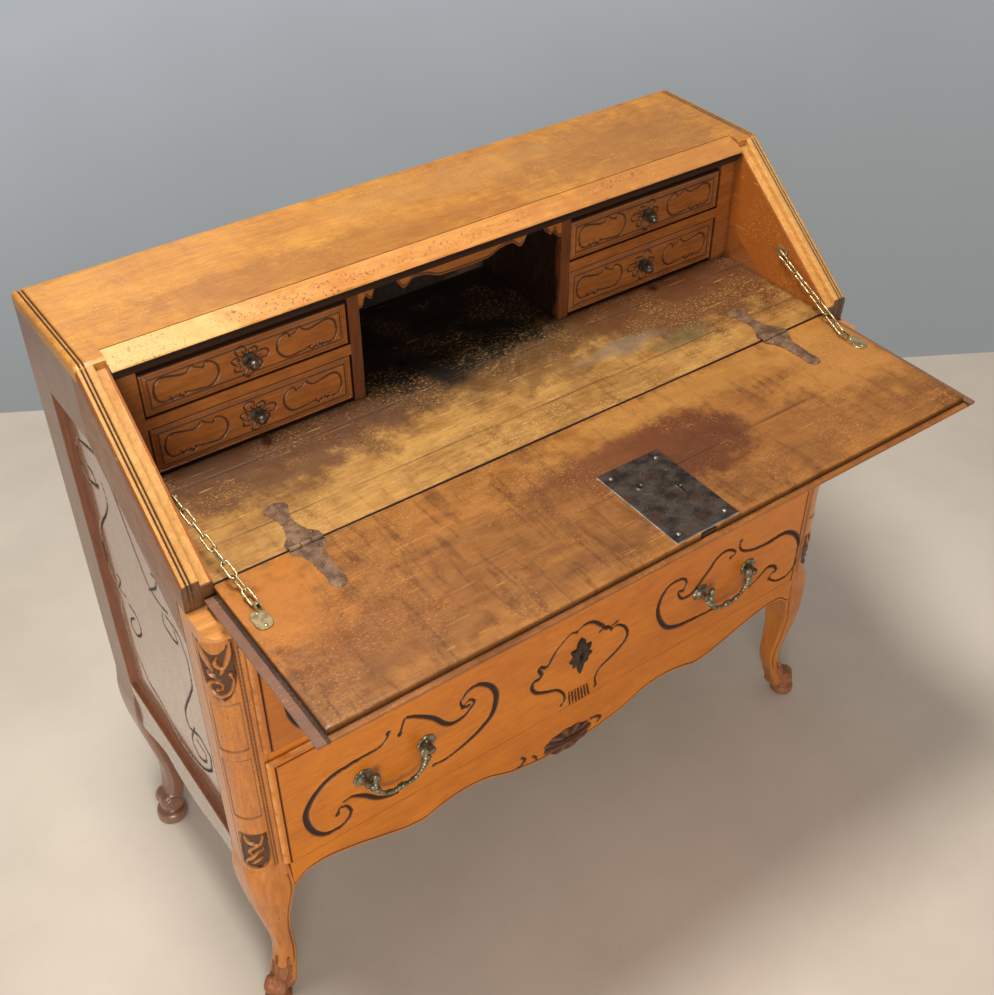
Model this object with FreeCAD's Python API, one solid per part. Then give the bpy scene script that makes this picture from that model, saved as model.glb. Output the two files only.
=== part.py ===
import FreeCAD, Part
import math
import os

# Slant-front writing desk on cabriole legs, its lid let down.
# Millimetres.  X runs across, depth is measured forward from the back plane, Z is up.
# Whole desk
body_width = 1040
board_height = 793
upper_height = 188
nose_rise = 17
top_depth = 198
nose_reach = 215.4
hinge_inset = 4.4
board_stock = 21
moulding_tall = 20
half = body_width / 2
body_height = board_height + upper_height
nose_height = board_height + nose_rise
nose_depth = top_depth + nose_reach
hinge_depth = nose_depth - hinge_inset
ledge_height = board_height - board_stock

# Slope of the two sides, and where the hinge line lies under it
slope_rise = body_height - nose_height
slope_length = math.hypot(nose_reach, slope_rise)
run_share = nose_reach / slope_length
rise_share = slope_rise / slope_length
closed_turn = 180 - math.degrees(math.atan2(slope_rise, nose_reach))
hinge_along = (hinge_depth - top_depth) * run_share + upper_height * rise_share
hinge_below = upper_height * run_share - (hinge_depth - top_depth) * rise_share

# Stock and fits
frame_thick = 37.4
panel_recess = 20
board_thick = 20
floor_thick = 12
plate_thick = 2
lid_clear = 0.7
slide_clear = 1
turn_clear = 0.3
pin_clear = 0.08
face_clear = 0.5
overrun = 5
wall_in = half - frame_thick

# Posts and rails
post_width = 50
post_deep = 60
post_front = 452
post_back = post_front - post_deep
post_top = ledge_height - moulding_tall
corner_radius = 27
post_in = half - post_width
rear_post_depth = 66
knee_height = 311
front_stock = 24
front_proud = 8
face_depth = post_front + front_proud
front_back = face_depth - front_stock
apron_thick = front_stock
lower_row_share = 0.52
rail_thick = 26
head_thick = 7
rail_top = knee_height + (post_top - knee_height) * lower_row_share
rail_bottom = rail_top - rail_thick
upper_head = post_top - head_thick
stile_width = 96
side_rail_height = 338
side_rail_back = 66
side_joint_depth = 183
back_thick = 12
back_gap = 2
back_foot = 262
back_face = back_gap + back_thick
ledge_set_back = 12
ledge_proud = 4
ledge_tongue = 3
ledge_front = post_front - ledge_set_back
ledge_nose = post_front + ledge_proud
ledge_back = post_back - ledge_tongue
guide_height = 20

# Fascia under the top board
fascia_drop = 21.4
fascia_tongue = 29.7
fascia_thick = 22
rebate_depth = 7.3
rebate_wide = 15.4

# Lid
fascia_clear = 1.2
flush_clear = 0.3
lid_thick = hinge_below - flush_clear
lip_thick = 6.5
lid_field_reach = hinge_along - fascia_tongue - fascia_clear
lid_reach = hinge_along - fascia_drop - fascia_clear
lid_end_depth = hinge_depth + lid_reach
back_y = lid_end_depth / 2
lid_field_half = wall_in - lid_clear
lip_half = 497.3
lip_start = 8

# Strap hinges
hinge_places = (-365, 382)
strap_half = 22
strap_tip_half = 9
strap_back = 330
strap_front = 490
knuckle_radius = 4
knuckle_half = 7
pin_radius = 1.6

# Lid lock
lock_left = -20
lock_right = 78
lock_back = 510
lock_front = 659
nail_inset = 13
nail_radius = 3
bolt_middle = 29
bolt_half = 10
bolt_drop = 3
bolt_thick = 5
bolt_length = 44
bolt_travel = 8

# Chains
eye_depth = 316
eye_rise = 58
eye_height = board_height + eye_rise
eye_side = 476
eye_pin_radius = 0.9
eye_plate_half = 10
eye_plate_tall = 6
eye_head_radius = 2.6
eye_head_thick = 1.2
stay_depth = 466
stay_lift = 4.5
stay_side = 459
stay_pin_radius = 0.9
stay_plate_in = 453.5
stay_plate_out = 473.5
stay_plate_back = 474
stay_plate_front = 505
stay_plate_thick = 1.4
stay_lug_half = 3.2
stay_lug_gap = 2.2
stay_lug_thick = 1.6
wire_radius = 0.8
link_half = 5.6
link_bend = 2
middle_gap = 1.6

# Drawers
lip_over = 5.7
lip_side = post_in + lip_over
drawer_lip_top = rail_bottom + lip_over
upper_lip_top = upper_head + lip_over
front_inner_half = post_in - slide_clear
box_thick = 12
box_back = 30
box_drop = 30
panel_thick = 8
panel_lift = 6

# Gallery of small drawers
gallery_front = top_depth + hinge_inset
niche_half = 160
partition_thick = 16
strip_wide = 28.6
small_right = wall_in - strip_wide
lower_small_share = 0.49
shelf_thick = 15
gallery_head = 19
small_top = body_height - board_thick - gallery_head
shelf_bottom = board_height + (small_top - board_height) * lower_small_share
shelf_top = shelf_bottom + shelf_thick
small_gap = 0.8
small_sill = 3.5
small_front_thick = 16
small_wall = 6
small_back = 40
small_drop = 14
valance_thick = 12
knob_base_radius = 9
knob_base_thick = 2
knob_neck_radius = 3
knob_neck = 8
knob_radius = 7

# Bail handles and key plates
bail_middle = 300
bail_half = 50
bail_height_share = 0.41
bail_drop = 42
bail_gap = 14
bail_wire = 3.5
bail_pin = 2
bail_end = 5
bail_bend_share = 0.9
bail_low_share = 0.93
rosette_radius = 15
rosette_thick = 3
bail_post_radius = 5
bail_post_tip = 5.5
key_side = 17
key_plate_half = 22
key_plate_tall = 76
key_height_share = 0.427
key_hole_radius = 3.4
key_slot_half = 1.7
key_slot_drop = 11
key_deep = 14

# Feet
foot_pad_radius = 21
foot_pad_tall = 22
foot_waist = 30
foot_scroll_radius = 18
foot_scroll_half = 14
foot_scroll_height = 42
front_foot_side = 521
front_foot_inset = 9
front_foot_depth = post_front - front_foot_inset
rear_foot_side = 506
rear_foot_depth = 55

# Leg outlines: height as a share of the knee height, then shares of the post width
leg_outer_shares = ((1, 0), (0.96, -0.07), (0.9, -0.13), (0.82, -0.14), (0.73, -0.1), (0.6, 0.01),
                    (0.45, 0.25), (0.37, 0.34), (0.29, 0.3), (0.2, 0.12), (0.13, -0.05))
leg_inner_shares = ((1, 1), (0.92, 1.03), (0.83, 1.1), (0.76, 1.02), (0.67, 0.9), (0.53, 0.86),
                    (0.39, 0.95), (0.28, 0.93), (0.2, 0.8), (0.13, 0.66))
rear_back_shares = ((1, 0), (0.9, 0), (0.75, 0.01), (0.6, 0.08), (0.45, 0.26), (0.37, 0.34),
                    (0.29, 0.4), (0.2, 0.5), (0.13, 0.54))
rear_front_shares = ((1, 1), (0.92, 1.03), (0.83, 1.04), (0.76, 1), (0.67, 0.92), (0.53, 0.86),
                     (0.39, 0.92), (0.28, 1.02), (0.2, 1.08), (0.13, 1.12))

# Scalloped edges: shares of a half width or a run, then shares of a height
apron_arch_shares = ((0.989, 0.83), (0.957, 0.875), (0.917, 0.889), (0.798, 0.862), (0.691, 0.81),
                     (0.606, 0.772), (0.547, 0.765))
apron_wave_shares = ((0.506, 0.785), (0.451, 0.804), (0.387, 0.81), (0.319, 0.794), (0.221, 0.733),
                     (0.16, 0.714), (0.117, 0.701))
side_arch_shares = ((0, 0.73), (0.04, 0.74), (0.17, 0.79), (0.337, 0.84))
side_wave_shares = ((0.337, 0.84), (0.52, 0.8), (0.7, 0.808), (0.9, 0.852), (1, 0.845))
valance_end_shares = ((1, 1.09), (0.96, 0.97), (0.944, 0.72))
valance_arch_shares = ((0.875, 0.78), (0.85, 0.47), (0.79, 0.22), (0.71, 0.25), (0.63, 0.5),
                       (0.594, 0.81))
valance_wave_shares = ((0.594, 0.81), (0.49, 0.59), (0.375, 0.62), (0.24, 0.87), (0.14, 0.9))
valance_drop = 32
shell_half = 45
shell_top = 262
shell_bottom = 212
shell_lift = 8
shell_rise_share = 0.55


def at(x, depth, z):
    return FreeCAD.Vector(x, back_y - depth, z)


def block(x0, x1, d0, d1, z0, z1):
    return Part.makeBox(x1 - x0, d1 - d0, z1 - z0, at(x0, d1, z0))


def face_of(edges):
    return Part.Face(Part.Wire(edges))


def straight_face(points):
    return Part.Face(Part.makePolygon(points + [points[0]]))


def prism_x(outline, x0, x1):
    face = straight_face([at(x0, d, z) for d, z in outline])
    return face.extrude(FreeCAD.Vector(x1 - x0, 0, 0))


def prism_depth(outline, d0, d1):
    face = straight_face([at(x, d1, z) for x, z in outline])
    return face.extrude(FreeCAD.Vector(0, d1 - d0, 0))


def curve(points):
    spline = Part.BSplineCurve()
    spline.interpolate(points)
    return spline.toShape()


def closed_face(runs):
    # Each run is a list of points: two points give a line, more give a smooth curve.
    edges = []
    last = None
    for points in runs:
        if last is not None and last.distanceToPoint(points[0]) > FreeCAD.Base.Precision.confusion():
            edges.append(Part.makeLine(last, points[0]))
        edges.append(Part.makeLine(points[0], points[1]) if len(points) == 2 else curve(points))
        last = points[-1]
    if last.distanceToPoint(runs[0][0]) > FreeCAD.Base.Precision.confusion():
        edges.append(Part.makeLine(last, runs[0][0]))
    return face_of(edges)


def rod(start, end, radius):
    run = end.sub(start)
    return Part.makeCylinder(radius, run.Length, start, run)


def mirrored(shape):
    return shape.mirror(FreeCAD.Vector(0, 0, 0), FreeCAD.Vector(1, 0, 0))


def both(shape):
    return [shape, mirrored(shape)]


def on_slope(along, below):
    # Depth and height of a point measured down the slope from the top front edge.
    return (top_depth + along * run_share - below * rise_share,
            body_height - along * rise_share - below * run_share)


def slope_height(depth, below):
    return body_height - (depth - top_depth) * slope_rise / nose_reach - below / run_share


def side_of(shares, depth_scale, start, height):
    return [(start + a * depth_scale, b * height) for a, b in shares]


# Legs and posts
def leg_profile(outer_shares, inner_shares, plane):
    outer = [plane(a * knee_height, b * post_width) for a, b in outer_shares]
    inner = [plane(a * knee_height, b * post_width) for a, b in inner_shares]
    return closed_face([outer, list(reversed(inner))])


def leg(front):
    far = post_front + rear_post_depth
    across = leg_profile(leg_outer_shares, leg_inner_shares, lambda z, s: at(half - s, far, z))
    across = across.extrude(FreeCAD.Vector(0, far + far, 0))
    if front:
        along = leg_profile(leg_outer_shares, leg_inner_shares,
                            lambda z, s: at(0, post_front - s * (post_front - post_back) / post_width, z))
    else:
        along = leg_profile(rear_back_shares, rear_front_shares,
                            lambda z, s: at(0, s * rear_post_depth / post_width, z))
    along = along.extrude(FreeCAD.Vector(body_width, 0, 0))
    shape = across.common(along)
    if not front:
        return shape
    reach = corner_radius * 3
    cut = [at(half + reach, post_front + reach, 0), at(half - corner_radius, post_front + reach, 0),
           at(half - corner_radius / 2, post_front - corner_radius / 2 + reach / 3, 0),
           at(half - corner_radius / 2 + reach / 3, post_front - corner_radius / 2, 0),
           at(half + reach, post_front - corner_radius, 0)]
    return shape.cut(straight_face(cut).extrude(FreeCAD.Vector(0, 0, knee_height)))


def foot(x, depth, way):
    pad = Part.makeCylinder(foot_pad_radius, foot_pad_tall, at(x, depth, 0))
    waist = Part.makeCone(foot_pad_radius, foot_scroll_radius, foot_waist - foot_pad_tall,
                          at(x, depth, foot_pad_tall))
    turned = FreeCAD.Vector(way.y, -way.x, 0)
    middle = at(x, depth, foot_scroll_height)
    start = middle.sub(FreeCAD.Vector(turned).multiply(foot_scroll_half))
    end = middle.add(FreeCAD.Vector(turned).multiply(foot_scroll_half))
    return pad.fuse(waist).fuse(rod(start, end, foot_scroll_radius))


def front_post():
    corner = half - corner_radius
    bend = corner_radius / math.sqrt(2)
    runs = [[at(post_in, post_back, knee_height), at(half, post_back, knee_height)],
            [at(half, post_back, knee_height), at(half, post_front - corner_radius, knee_height)]]
    arc = Part.Arc(at(half, post_front - corner_radius, knee_height),
                   at(corner + bend, post_front - corner_radius + bend, knee_height),
                   at(corner, post_front, knee_height)).toShape()
    lines = [Part.makeLine(a, b) for a, b in runs]
    lines.append(arc)
    lines.append(Part.makeLine(at(corner, post_front, knee_height), at(post_in, post_front, knee_height)))
    lines.append(Part.makeLine(at(post_in, post_front, knee_height), at(post_in, post_back, knee_height)))
    shaft = face_of(lines).extrude(FreeCAD.Vector(0, 0, post_top - knee_height))
    way = FreeCAD.Vector(1, -1, 0).normalize()
    shape = shaft.fuse(leg(True)).fuse(foot(front_foot_side, front_foot_depth, way))
    return shape.removeSplitter()


def rear_post():
    shaft = block(wall_in, half, 0, rear_post_depth, knee_height, body_height - board_thick)
    way = FreeCAD.Vector(1, 0, 0)
    shape = shaft.fuse(leg(False)).fuse(foot(rear_foot_side, rear_foot_depth, way))
    shape = shape.cut(block(-half, wall_in, -overrun, back_face, back_foot, body_height))
    shape = shape.cut(block(-half, post_in, -overrun, rear_post_depth * 2, knee_height - floor_thick,
                            knee_height))
    return shape.removeSplitter()


# Sides
def side_top_rail():
    low = slope_height(side_joint_depth, stile_width)
    return block(wall_in, half, rear_post_depth, side_joint_depth, low, body_height - board_thick)


def rebate_cut():
    outline = [on_slope(0, rebate_depth), on_slope(slope_length + rebate_wide, rebate_depth),
               on_slope(slope_length + rebate_wide, -rebate_wide), on_slope(0, -rebate_wide)]
    return prism_x(outline, wall_in - overrun, wall_in + rebate_wide)


def slope_rail():
    low = slope_height(side_joint_depth, stile_width)
    foot_z = slope_height(post_back, stile_width)
    outline = [(side_joint_depth, low), (side_joint_depth, body_height - board_thick),
               (gallery_front, body_height - board_thick), (gallery_front, slope_height(gallery_front, 0)),
               (nose_depth, nose_height), (nose_depth, ledge_height), (ledge_back, ledge_height),
               (ledge_back, post_top), (post_back, post_top), (post_back, foot_z)]
    return prism_x(outline, wall_in, half).cut(rebate_cut())


def side_bottom_rail():
    run = post_back - side_rail_back
    arch = [at(wall_in, d, z) for d, z in side_of(side_arch_shares, run, side_rail_back, side_rail_height)]
    wave = [at(wall_in, d, z) for d, z in side_of(side_wave_shares, run, side_rail_back, side_rail_height)]
    top = [at(wall_in, post_back, side_rail_height), at(wall_in, side_rail_back, side_rail_height)]
    rail = closed_face([arch, wave, top]).extrude(FreeCAD.Vector(frame_thick, 0, 0))
    return rail.cut(leg(True)).cut(leg(False))


def side_panel():
    low = slope_height(side_joint_depth, stile_width)
    foot_z = slope_height(post_back, stile_width)
    outline = [(side_rail_back, side_rail_height), (side_rail_back, low), (side_joint_depth, low),
               (post_back, foot_z), (post_back, side_rail_height)]
    return prism_x(outline, wall_in, half - panel_recess)


# Top, fascia, boards and rails of the case
def top_board():
    under = body_height - board_thick
    outline = [(0, under), (0, body_height), (top_depth, body_height),
               (gallery_front, slope_height(gallery_front, 0)), (gallery_front, under)]
    return prism_x(outline, -half, half)


def bolt_room(d0, d1, clear):
    top = board_height - bolt_drop
    return block(bolt_middle - bolt_half - clear, bolt_middle + bolt_half + clear, d0, d1,
                 top - bolt_thick - clear, top + clear)


def closed(shape):
    turned = shape.copy()
    turned.rotate(at(0, hinge_depth, board_height), FreeCAD.Vector(1, 0, 0), -closed_turn)
    return turned


def top_front_rail():
    start = on_slope(0, 0)
    rear_top = slope_height(gallery_front, 0)
    along = (gallery_front - start[0] + fascia_thick * rise_share) / run_share
    outline = [(gallery_front, rear_top), on_slope(fascia_drop, 0), on_slope(fascia_drop, rebate_depth),
               on_slope(fascia_tongue, rebate_depth), on_slope(fascia_tongue, fascia_thick),
               on_slope(along, fascia_thick)]
    mortise = closed(bolt_room(hinge_depth + lid_field_reach, lid_end_depth + bolt_travel, slide_clear))
    return prism_x(outline, -wall_in, wall_in).cut(mortise)


def hinge_room(x, clear):
    return rod(at(x - strap_half - clear, hinge_depth, board_height),
               at(x + strap_half + clear, hinge_depth, board_height), knuckle_radius + clear)


def strap_upper(x):
    return block(x - strap_half, x + strap_half, strap_back, hinge_depth, board_height - plate_thick,
                 board_height)


def strap_lower(x):
    low = board_height - plate_thick
    outline = [at(x - strap_half, hinge_depth, low), at(x + strap_half, hinge_depth, low),
               at(x + strap_tip_half, strap_front, low), at(x - strap_tip_half, strap_front, low)]
    return straight_face(outline).extrude(FreeCAD.Vector(0, 0, plate_thick))


def writing_board():
    shape = block(-wall_in, wall_in, back_face, hinge_depth - face_clear, ledge_height, board_height)
    for x in hinge_places:
        shape = shape.cut(strap_upper(x)).cut(hinge_room(x, turn_clear))
    return shape


def waist_moulding():
    corner = half - corner_radius
    drop = ledge_height - post_top
    profile = [[at(0, ledge_back, post_top), at(0, ledge_back, ledge_height)],
               [at(0, ledge_back, ledge_height), at(0, ledge_front, ledge_height)],
               [at(0, ledge_front, ledge_height), at(0, ledge_front + drop / 4, ledge_height - drop / 4),
                at(0, ledge_front + drop / 3, ledge_height - drop / 2),
                at(0, ledge_nose - drop / 8, post_top + drop / 4), at(0, ledge_nose, post_top)]]
    bar = closed_face(profile).extrude(FreeCAD.Vector(half, 0, 0))
    bar = bar.fuse(mirrored(bar))
    reach = corner_radius + ledge_nose - post_front
    room = block(corner, half + overrun, post_front - corner_radius, ledge_nose + overrun,
                 post_top - overrun, ledge_height + overrun)
    room = room.cut(Part.makeCylinder(reach, ledge_height, at(corner, post_front - corner_radius, 0)))
    bar = bar.cut(room).cut(mirrored(room))
    rail = block(-post_in, post_in, post_back, post_front, upper_head, post_top)
    shape = bar.fuse(rail)
    inner = block(wall_in, half, ledge_back - overrun, post_back, post_top - overrun, ledge_height)
    return shape.cut(inner).cut(mirrored(inner)).removeSplitter()


def back_panel():
    return block(-wall_in, wall_in, back_gap, back_face, back_foot, body_height - board_thick)


def drawer_divider_rail():
    return block(-post_in, post_in, post_back, post_front, rail_bottom, rail_top)


def middle_dust_board():
    return block(-wall_in, wall_in, back_face, post_back, rail_top - floor_thick, rail_top)


def bottom_board():
    return block(-post_in, post_in, back_face, front_back, knee_height - floor_thick, knee_height)


def drawer_guides():
    low = block(post_in, wall_in, back_face, post_back, knee_height, knee_height + guide_height)
    high = block(post_in, wall_in, back_face, post_back, rail_top, rail_top + guide_height)
    return Part.makeCompound(both(low) + both(high))


def shell_outline(lift):
    rise = shell_top - shell_bottom
    crown = shell_bottom + rise
    waist = shell_bottom + rise * shell_rise_share
    return [at(-shell_half, lift, waist), at(-shell_half / 2, lift, crown), at(0, lift, crown),
            at(shell_half / 2, lift, crown), at(shell_half, lift, waist)]


def front_apron():
    right = [[at(a * post_in, face_depth, b * knee_height) for a, b in shares]
             for shares in (apron_arch_shares, apron_wave_shares)]
    left = [[FreeCAD.Vector(-p.x, p.y, p.z) for p in reversed(run)] for run in reversed(right)]
    top = [at(-post_in, face_depth, knee_height), at(post_in, face_depth, knee_height)]
    board = closed_face([top] + right + left).extrude(FreeCAD.Vector(0, apron_thick, 0))
    legs = leg(True)
    room = legs.fuse(mirrored(legs))
    waist = shell_bottom + (shell_top - shell_bottom) * shell_rise_share
    crest = shell_outline(face_depth + shell_lift)
    low = [at(shell_half, face_depth + shell_lift, waist),
           at(shell_half / 2, face_depth + shell_lift, shell_bottom + shell_lift / 2),
           at(0, face_depth + shell_lift, shell_bottom),
           at(-shell_half / 2, face_depth + shell_lift, shell_bottom + shell_lift / 2),
           at(-shell_half, face_depth + shell_lift, waist)]
    shell = closed_face([crest, low]).extrude(FreeCAD.Vector(0, apron_thick, 0))
    return board.cut(room).fuse(shell).removeSplitter()


# Gallery
def gallery_partitions():
    wall = block(niche_half, niche_half + partition_thick, back_face, gallery_front, board_height,
                 body_height - board_thick)
    return Part.makeCompound(both(wall))


def gallery_frame_strips():
    strip = block(small_right, wall_in, back_face, gallery_front, board_height,
                  body_height - board_thick)
    return Part.makeCompound(both(strip))


def gallery_shelves():
    shelf = block(niche_half + partition_thick, small_right, back_face, gallery_front, shelf_bottom,
                  shelf_top)
    return Part.makeCompound(both(shelf))


def niche_valance():
    under = body_height - board_thick
    right = [[at(a * niche_half, gallery_front, under - b * valance_drop) for a, b in shares]
             for shares in (valance_end_shares, valance_arch_shares, valance_wave_shares)]
    left = [[FreeCAD.Vector(-p.x, p.y, p.z) for p in reversed(run)] for run in reversed(right)]
    top = [at(-niche_half, gallery_front, under), at(niche_half, gallery_front, under)]
    return closed_face([top] + right + left).extrude(FreeCAD.Vector(0, valance_thick, 0))


def small_drawer(side, upper):
    floor = shelf_top if upper else board_height
    low = shelf_top + small_gap if upper else board_height + small_sill
    high = small_top if upper else shelf_bottom - small_gap
    left = niche_half + partition_thick + small_gap
    right = small_right - small_gap
    front_face = gallery_front - slide_clear
    front_rear = front_face - small_front_thick
    top = high - small_drop
    parts = [block(left, right, front_rear, front_face, low, high)]
    for x in (left, right - small_wall):
        parts.append(block(x, x + small_wall, small_back, front_rear, floor, top))
    parts.append(block(left + small_wall, right - small_wall, small_back, small_back + small_wall,
                       floor, top))
    parts.append(block(left + small_wall, right - small_wall, small_back + small_wall, front_rear,
                       low, low + small_wall))
    return Part.makeCompound([mirrored(p) if side < 0 else p for p in parts])


def small_knob(side, upper):
    low = shelf_top + small_gap if upper else board_height + small_sill
    high = small_top if upper else shelf_bottom - small_gap
    x = side * (niche_half + partition_thick + small_right) / 2
    z = (low + high) / 2
    face = gallery_front - slide_clear
    base = rod(at(x, face, z), at(x, face + knob_base_thick, z), knob_base_radius)
    neck = rod(at(x, face, z), at(x, face + knob_neck + knob_base_thick, z), knob_neck_radius)
    ball = Part.makeSphere(knob_radius, at(x, face + knob_neck + knob_radius, z))
    return base.fuse(neck).fuse(ball).removeSplitter()


# Lid and its ironwork
def lid_board():
    field = block(-lid_field_half, lid_field_half, hinge_depth + face_clear,
                  hinge_depth + lid_field_reach, board_height - lid_thick, board_height)
    lip = block(-lip_half, lip_half, hinge_depth + lip_start, lid_end_depth, board_height - lid_thick,
                board_height - lid_thick + lip_thick)
    shape = field.fuse(lip).removeSplitter()
    for x in hinge_places:
        shape = shape.cut(strap_lower(x)).cut(hinge_room(x, turn_clear))
    shape = shape.cut(lock_body())
    room = bolt_room(hinge_depth + lid_field_reach - bolt_length, lid_end_depth, pin_clear)
    return shape.cut(room.cut(block(-half, half, hinge_depth + lid_field_reach, lid_end_depth + overrun,
                                    0, board_height - lid_thick + lip_thick)))


def lock_body():
    return block(lock_left, lock_right, lock_back, lock_front, board_height - plate_thick, board_height)


def nail_spots():
    xs = (lock_left + nail_inset, lock_right - nail_inset)
    ds = (lock_back + nail_inset, lock_front - nail_inset)
    return [(x, d) for x in xs for d in ds]


def lid_lock_plate():
    shape = lock_body()
    for x, d in nail_spots():
        shape = shape.cut(Part.makeCylinder(nail_radius / 2, board_height, at(x, d, 0)))
    return shape


def lid_lock_nails():
    nails = []
    for x, d in nail_spots():
        stem = Part.makeCylinder(nail_radius / 2, plate_thick, at(x, d, board_height - plate_thick))
        head = Part.makeCone(nail_radius, nail_radius / 2, nail_radius / 2, at(x, d, board_height))
        nails.append(stem.fuse(head).removeSplitter())
    return Part.makeCompound(nails)


def lid_lock_bolt():
    reach = hinge_depth + lid_field_reach
    top = board_height - bolt_drop
    return block(bolt_middle - bolt_half, bolt_middle + bolt_half, reach - bolt_length + bolt_travel,
                 reach - face_clear, top - bolt_thick, top)


def knuckle(x0, x1, hole):
    barrel = rod(at(x0, hinge_depth, board_height), at(x1, hinge_depth, board_height), knuckle_radius)
    return barrel.cut(rod(at(x0 - overrun, hinge_depth, board_height),
                          at(x1 + overrun, hinge_depth, board_height), hole))


def hinge_upper_leaves():
    leaves = []
    for x in hinge_places:
        plate = strap_upper(x).cut(hinge_room(x, turn_clear))
        bar = block(x - strap_half, x + strap_half, hinge_depth - knuckle_radius - overrun, hinge_depth,
                    board_height - plate_thick, board_height)
        ends = [knuckle(x - strap_half, x - knuckle_half, pin_radius),
                knuckle(x + knuckle_half, x + strap_half, pin_radius)]
        middle = block(x - knuckle_half, x + knuckle_half, hinge_depth - knuckle_radius - turn_clear,
                       hinge_depth, board_height - plate_thick, board_height)
        bore = rod(at(x - strap_half, hinge_depth, board_height),
                   at(x + strap_half, hinge_depth, board_height), pin_radius)
        leaf = plate.fuse(bar.cut(middle)).fuse(ends[0]).fuse(ends[1]).cut(bore)
        leaves.append(leaf.removeSplitter())
    return Part.makeCompound(leaves)


def hinge_lower_leaves():
    leaves = []
    for x in hinge_places:
        inner = knuckle_half - pin_clear * 2
        plate = strap_lower(x).cut(hinge_room(x, turn_clear))
        bar = block(x - inner, x + inner, hinge_depth, hinge_depth + knuckle_radius + overrun,
                    board_height - plate_thick, board_height)
        bore = rod(at(x - strap_half, hinge_depth, board_height),
                   at(x + strap_half, hinge_depth, board_height), pin_radius + pin_clear)
        leaf = plate.fuse(bar).fuse(knuckle(x - inner, x + inner, pin_radius + pin_clear)).cut(bore)
        leaves.append(leaf.removeSplitter())
    return Part.makeCompound(leaves)


def hinge_pins():
    return Part.makeCompound([rod(at(x - strap_half, hinge_depth, board_height),
                                  at(x + strap_half, hinge_depth, board_height), pin_radius)
                              for x in hinge_places])


# Chains
def chain_wall_eyes():
    plate = block(wall_in - plate_thick, wall_in, eye_depth - eye_plate_half, eye_depth + eye_plate_half,
                  eye_height - eye_plate_tall, eye_height + eye_plate_tall)
    inner = eye_side - wire_radius * 3
    pin = rod(at(wall_in - plate_thick, eye_depth, eye_height), at(inner, eye_depth, eye_height),
              eye_pin_radius)
    head = rod(at(inner, eye_depth, eye_height), at(inner - eye_head_thick, eye_depth, eye_height),
               eye_head_radius)
    return Part.makeCompound(both(plate.fuse(pin).fuse(head).removeSplitter()))


def link(middle, along, across):
    # A flat oval ring of round wire: two straights joined by two half rings.
    step = FreeCAD.Vector(along).multiply(link_half - link_bend - wire_radius)
    side = FreeCAD.Vector(across).multiply(link_bend)
    first = middle.add(step)
    last = middle.sub(step)
    path = Part.Wire([Part.makeLine(last.add(side), first.add(side)),
                      Part.Arc(first.add(side), first.add(FreeCAD.Vector(along).multiply(link_bend)),
                               first.sub(side)).toShape(),
                      Part.makeLine(first.sub(side), last.sub(side)),
                      Part.Arc(last.sub(side), last.sub(FreeCAD.Vector(along).multiply(link_bend)),
                               last.add(side)).toShape()])
    profile = Part.Wire([Part.makeCircle(wire_radius, last.add(side), along)])
    return path.makePipeShell([profile], True, True)


def half_chain(start, end):
    # The near bend of the first link turns on the pin; links sit on an even pitch.
    run = end.sub(start)
    along = FreeCAD.Vector(run).normalize()
    level = FreeCAD.Vector(1, 0, 0).sub(FreeCAD.Vector(along).multiply(along.x)).normalize()
    upright = along.cross(level).normalize()
    step = link_half - link_bend - wire_radius
    reach = run.Length - step - link_half
    longest = link_half * 2 - wire_radius * 4 - pin_clear * 2
    count = int(reach / longest) + 2
    count += count % 2
    pitch = reach / (count - 1)
    shapes = []
    for i in range(count):
        middle = start.add(FreeCAD.Vector(along).multiply(step + pitch * i))
        shapes.append(link(middle, along, level if i % 2 else upright))
    return Part.makeCompound(shapes)


def chain_points():
    start = at(eye_side, eye_depth, eye_height)
    end = at(stay_side, stay_depth, board_height + stay_lift)
    run = end.sub(start)
    middle = start.add(FreeCAD.Vector(run).multiply(0.5))
    gap = FreeCAD.Vector(run).normalize().multiply(middle_gap / 2)
    return start, middle.sub(gap), middle.add(gap), end


def chain_upper(side):
    start, upper_end, lower_end, end = chain_points()
    shape = half_chain(start, upper_end)
    return mirrored(shape) if side < 0 else shape


def chain_lower(side):
    start, upper_end, lower_end, end = chain_points()
    shape = half_chain(end, lower_end)
    return mirrored(shape) if side < 0 else shape


def lid_chain_plates():
    plate = block(stay_plate_in, stay_plate_out, stay_plate_back, stay_plate_front, board_height,
                  board_height + stay_plate_thick)
    pivot = board_height + stay_lift
    for way in (-1, 1):
        near = stay_side + way * stay_lug_gap
        far = near + way * stay_lug_thick
        x0 = min(near, far)
        x1 = max(near, far)
        arm = block(x0, x1, stay_depth, stay_plate_back + stay_lug_half, board_height,
                    pivot + stay_lug_half)
        cap = rod(at(x0, stay_depth, pivot), at(x1, stay_depth, pivot), stay_lug_half)
        plate = plate.fuse(arm).fuse(cap)
    pin = rod(at(stay_side - stay_lug_gap, stay_depth, pivot),
              at(stay_side + stay_lug_gap, stay_depth, pivot), stay_pin_radius)
    return Part.makeCompound(both(plate.fuse(pin).removeSplitter()))


# Long drawers
def row_height(upper, share):
    low = rail_top if upper else knee_height
    high = post_top if upper else rail_top
    return low + (high - low) * share


def key_hole(z, start):
    end = face_depth + overrun
    slot = block(key_side - key_slot_half, key_side + key_slot_half, start, end, z - key_slot_drop, z)
    return rod(at(key_side, start, z), at(key_side, end, z), key_hole_radius).fuse(slot)


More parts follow.
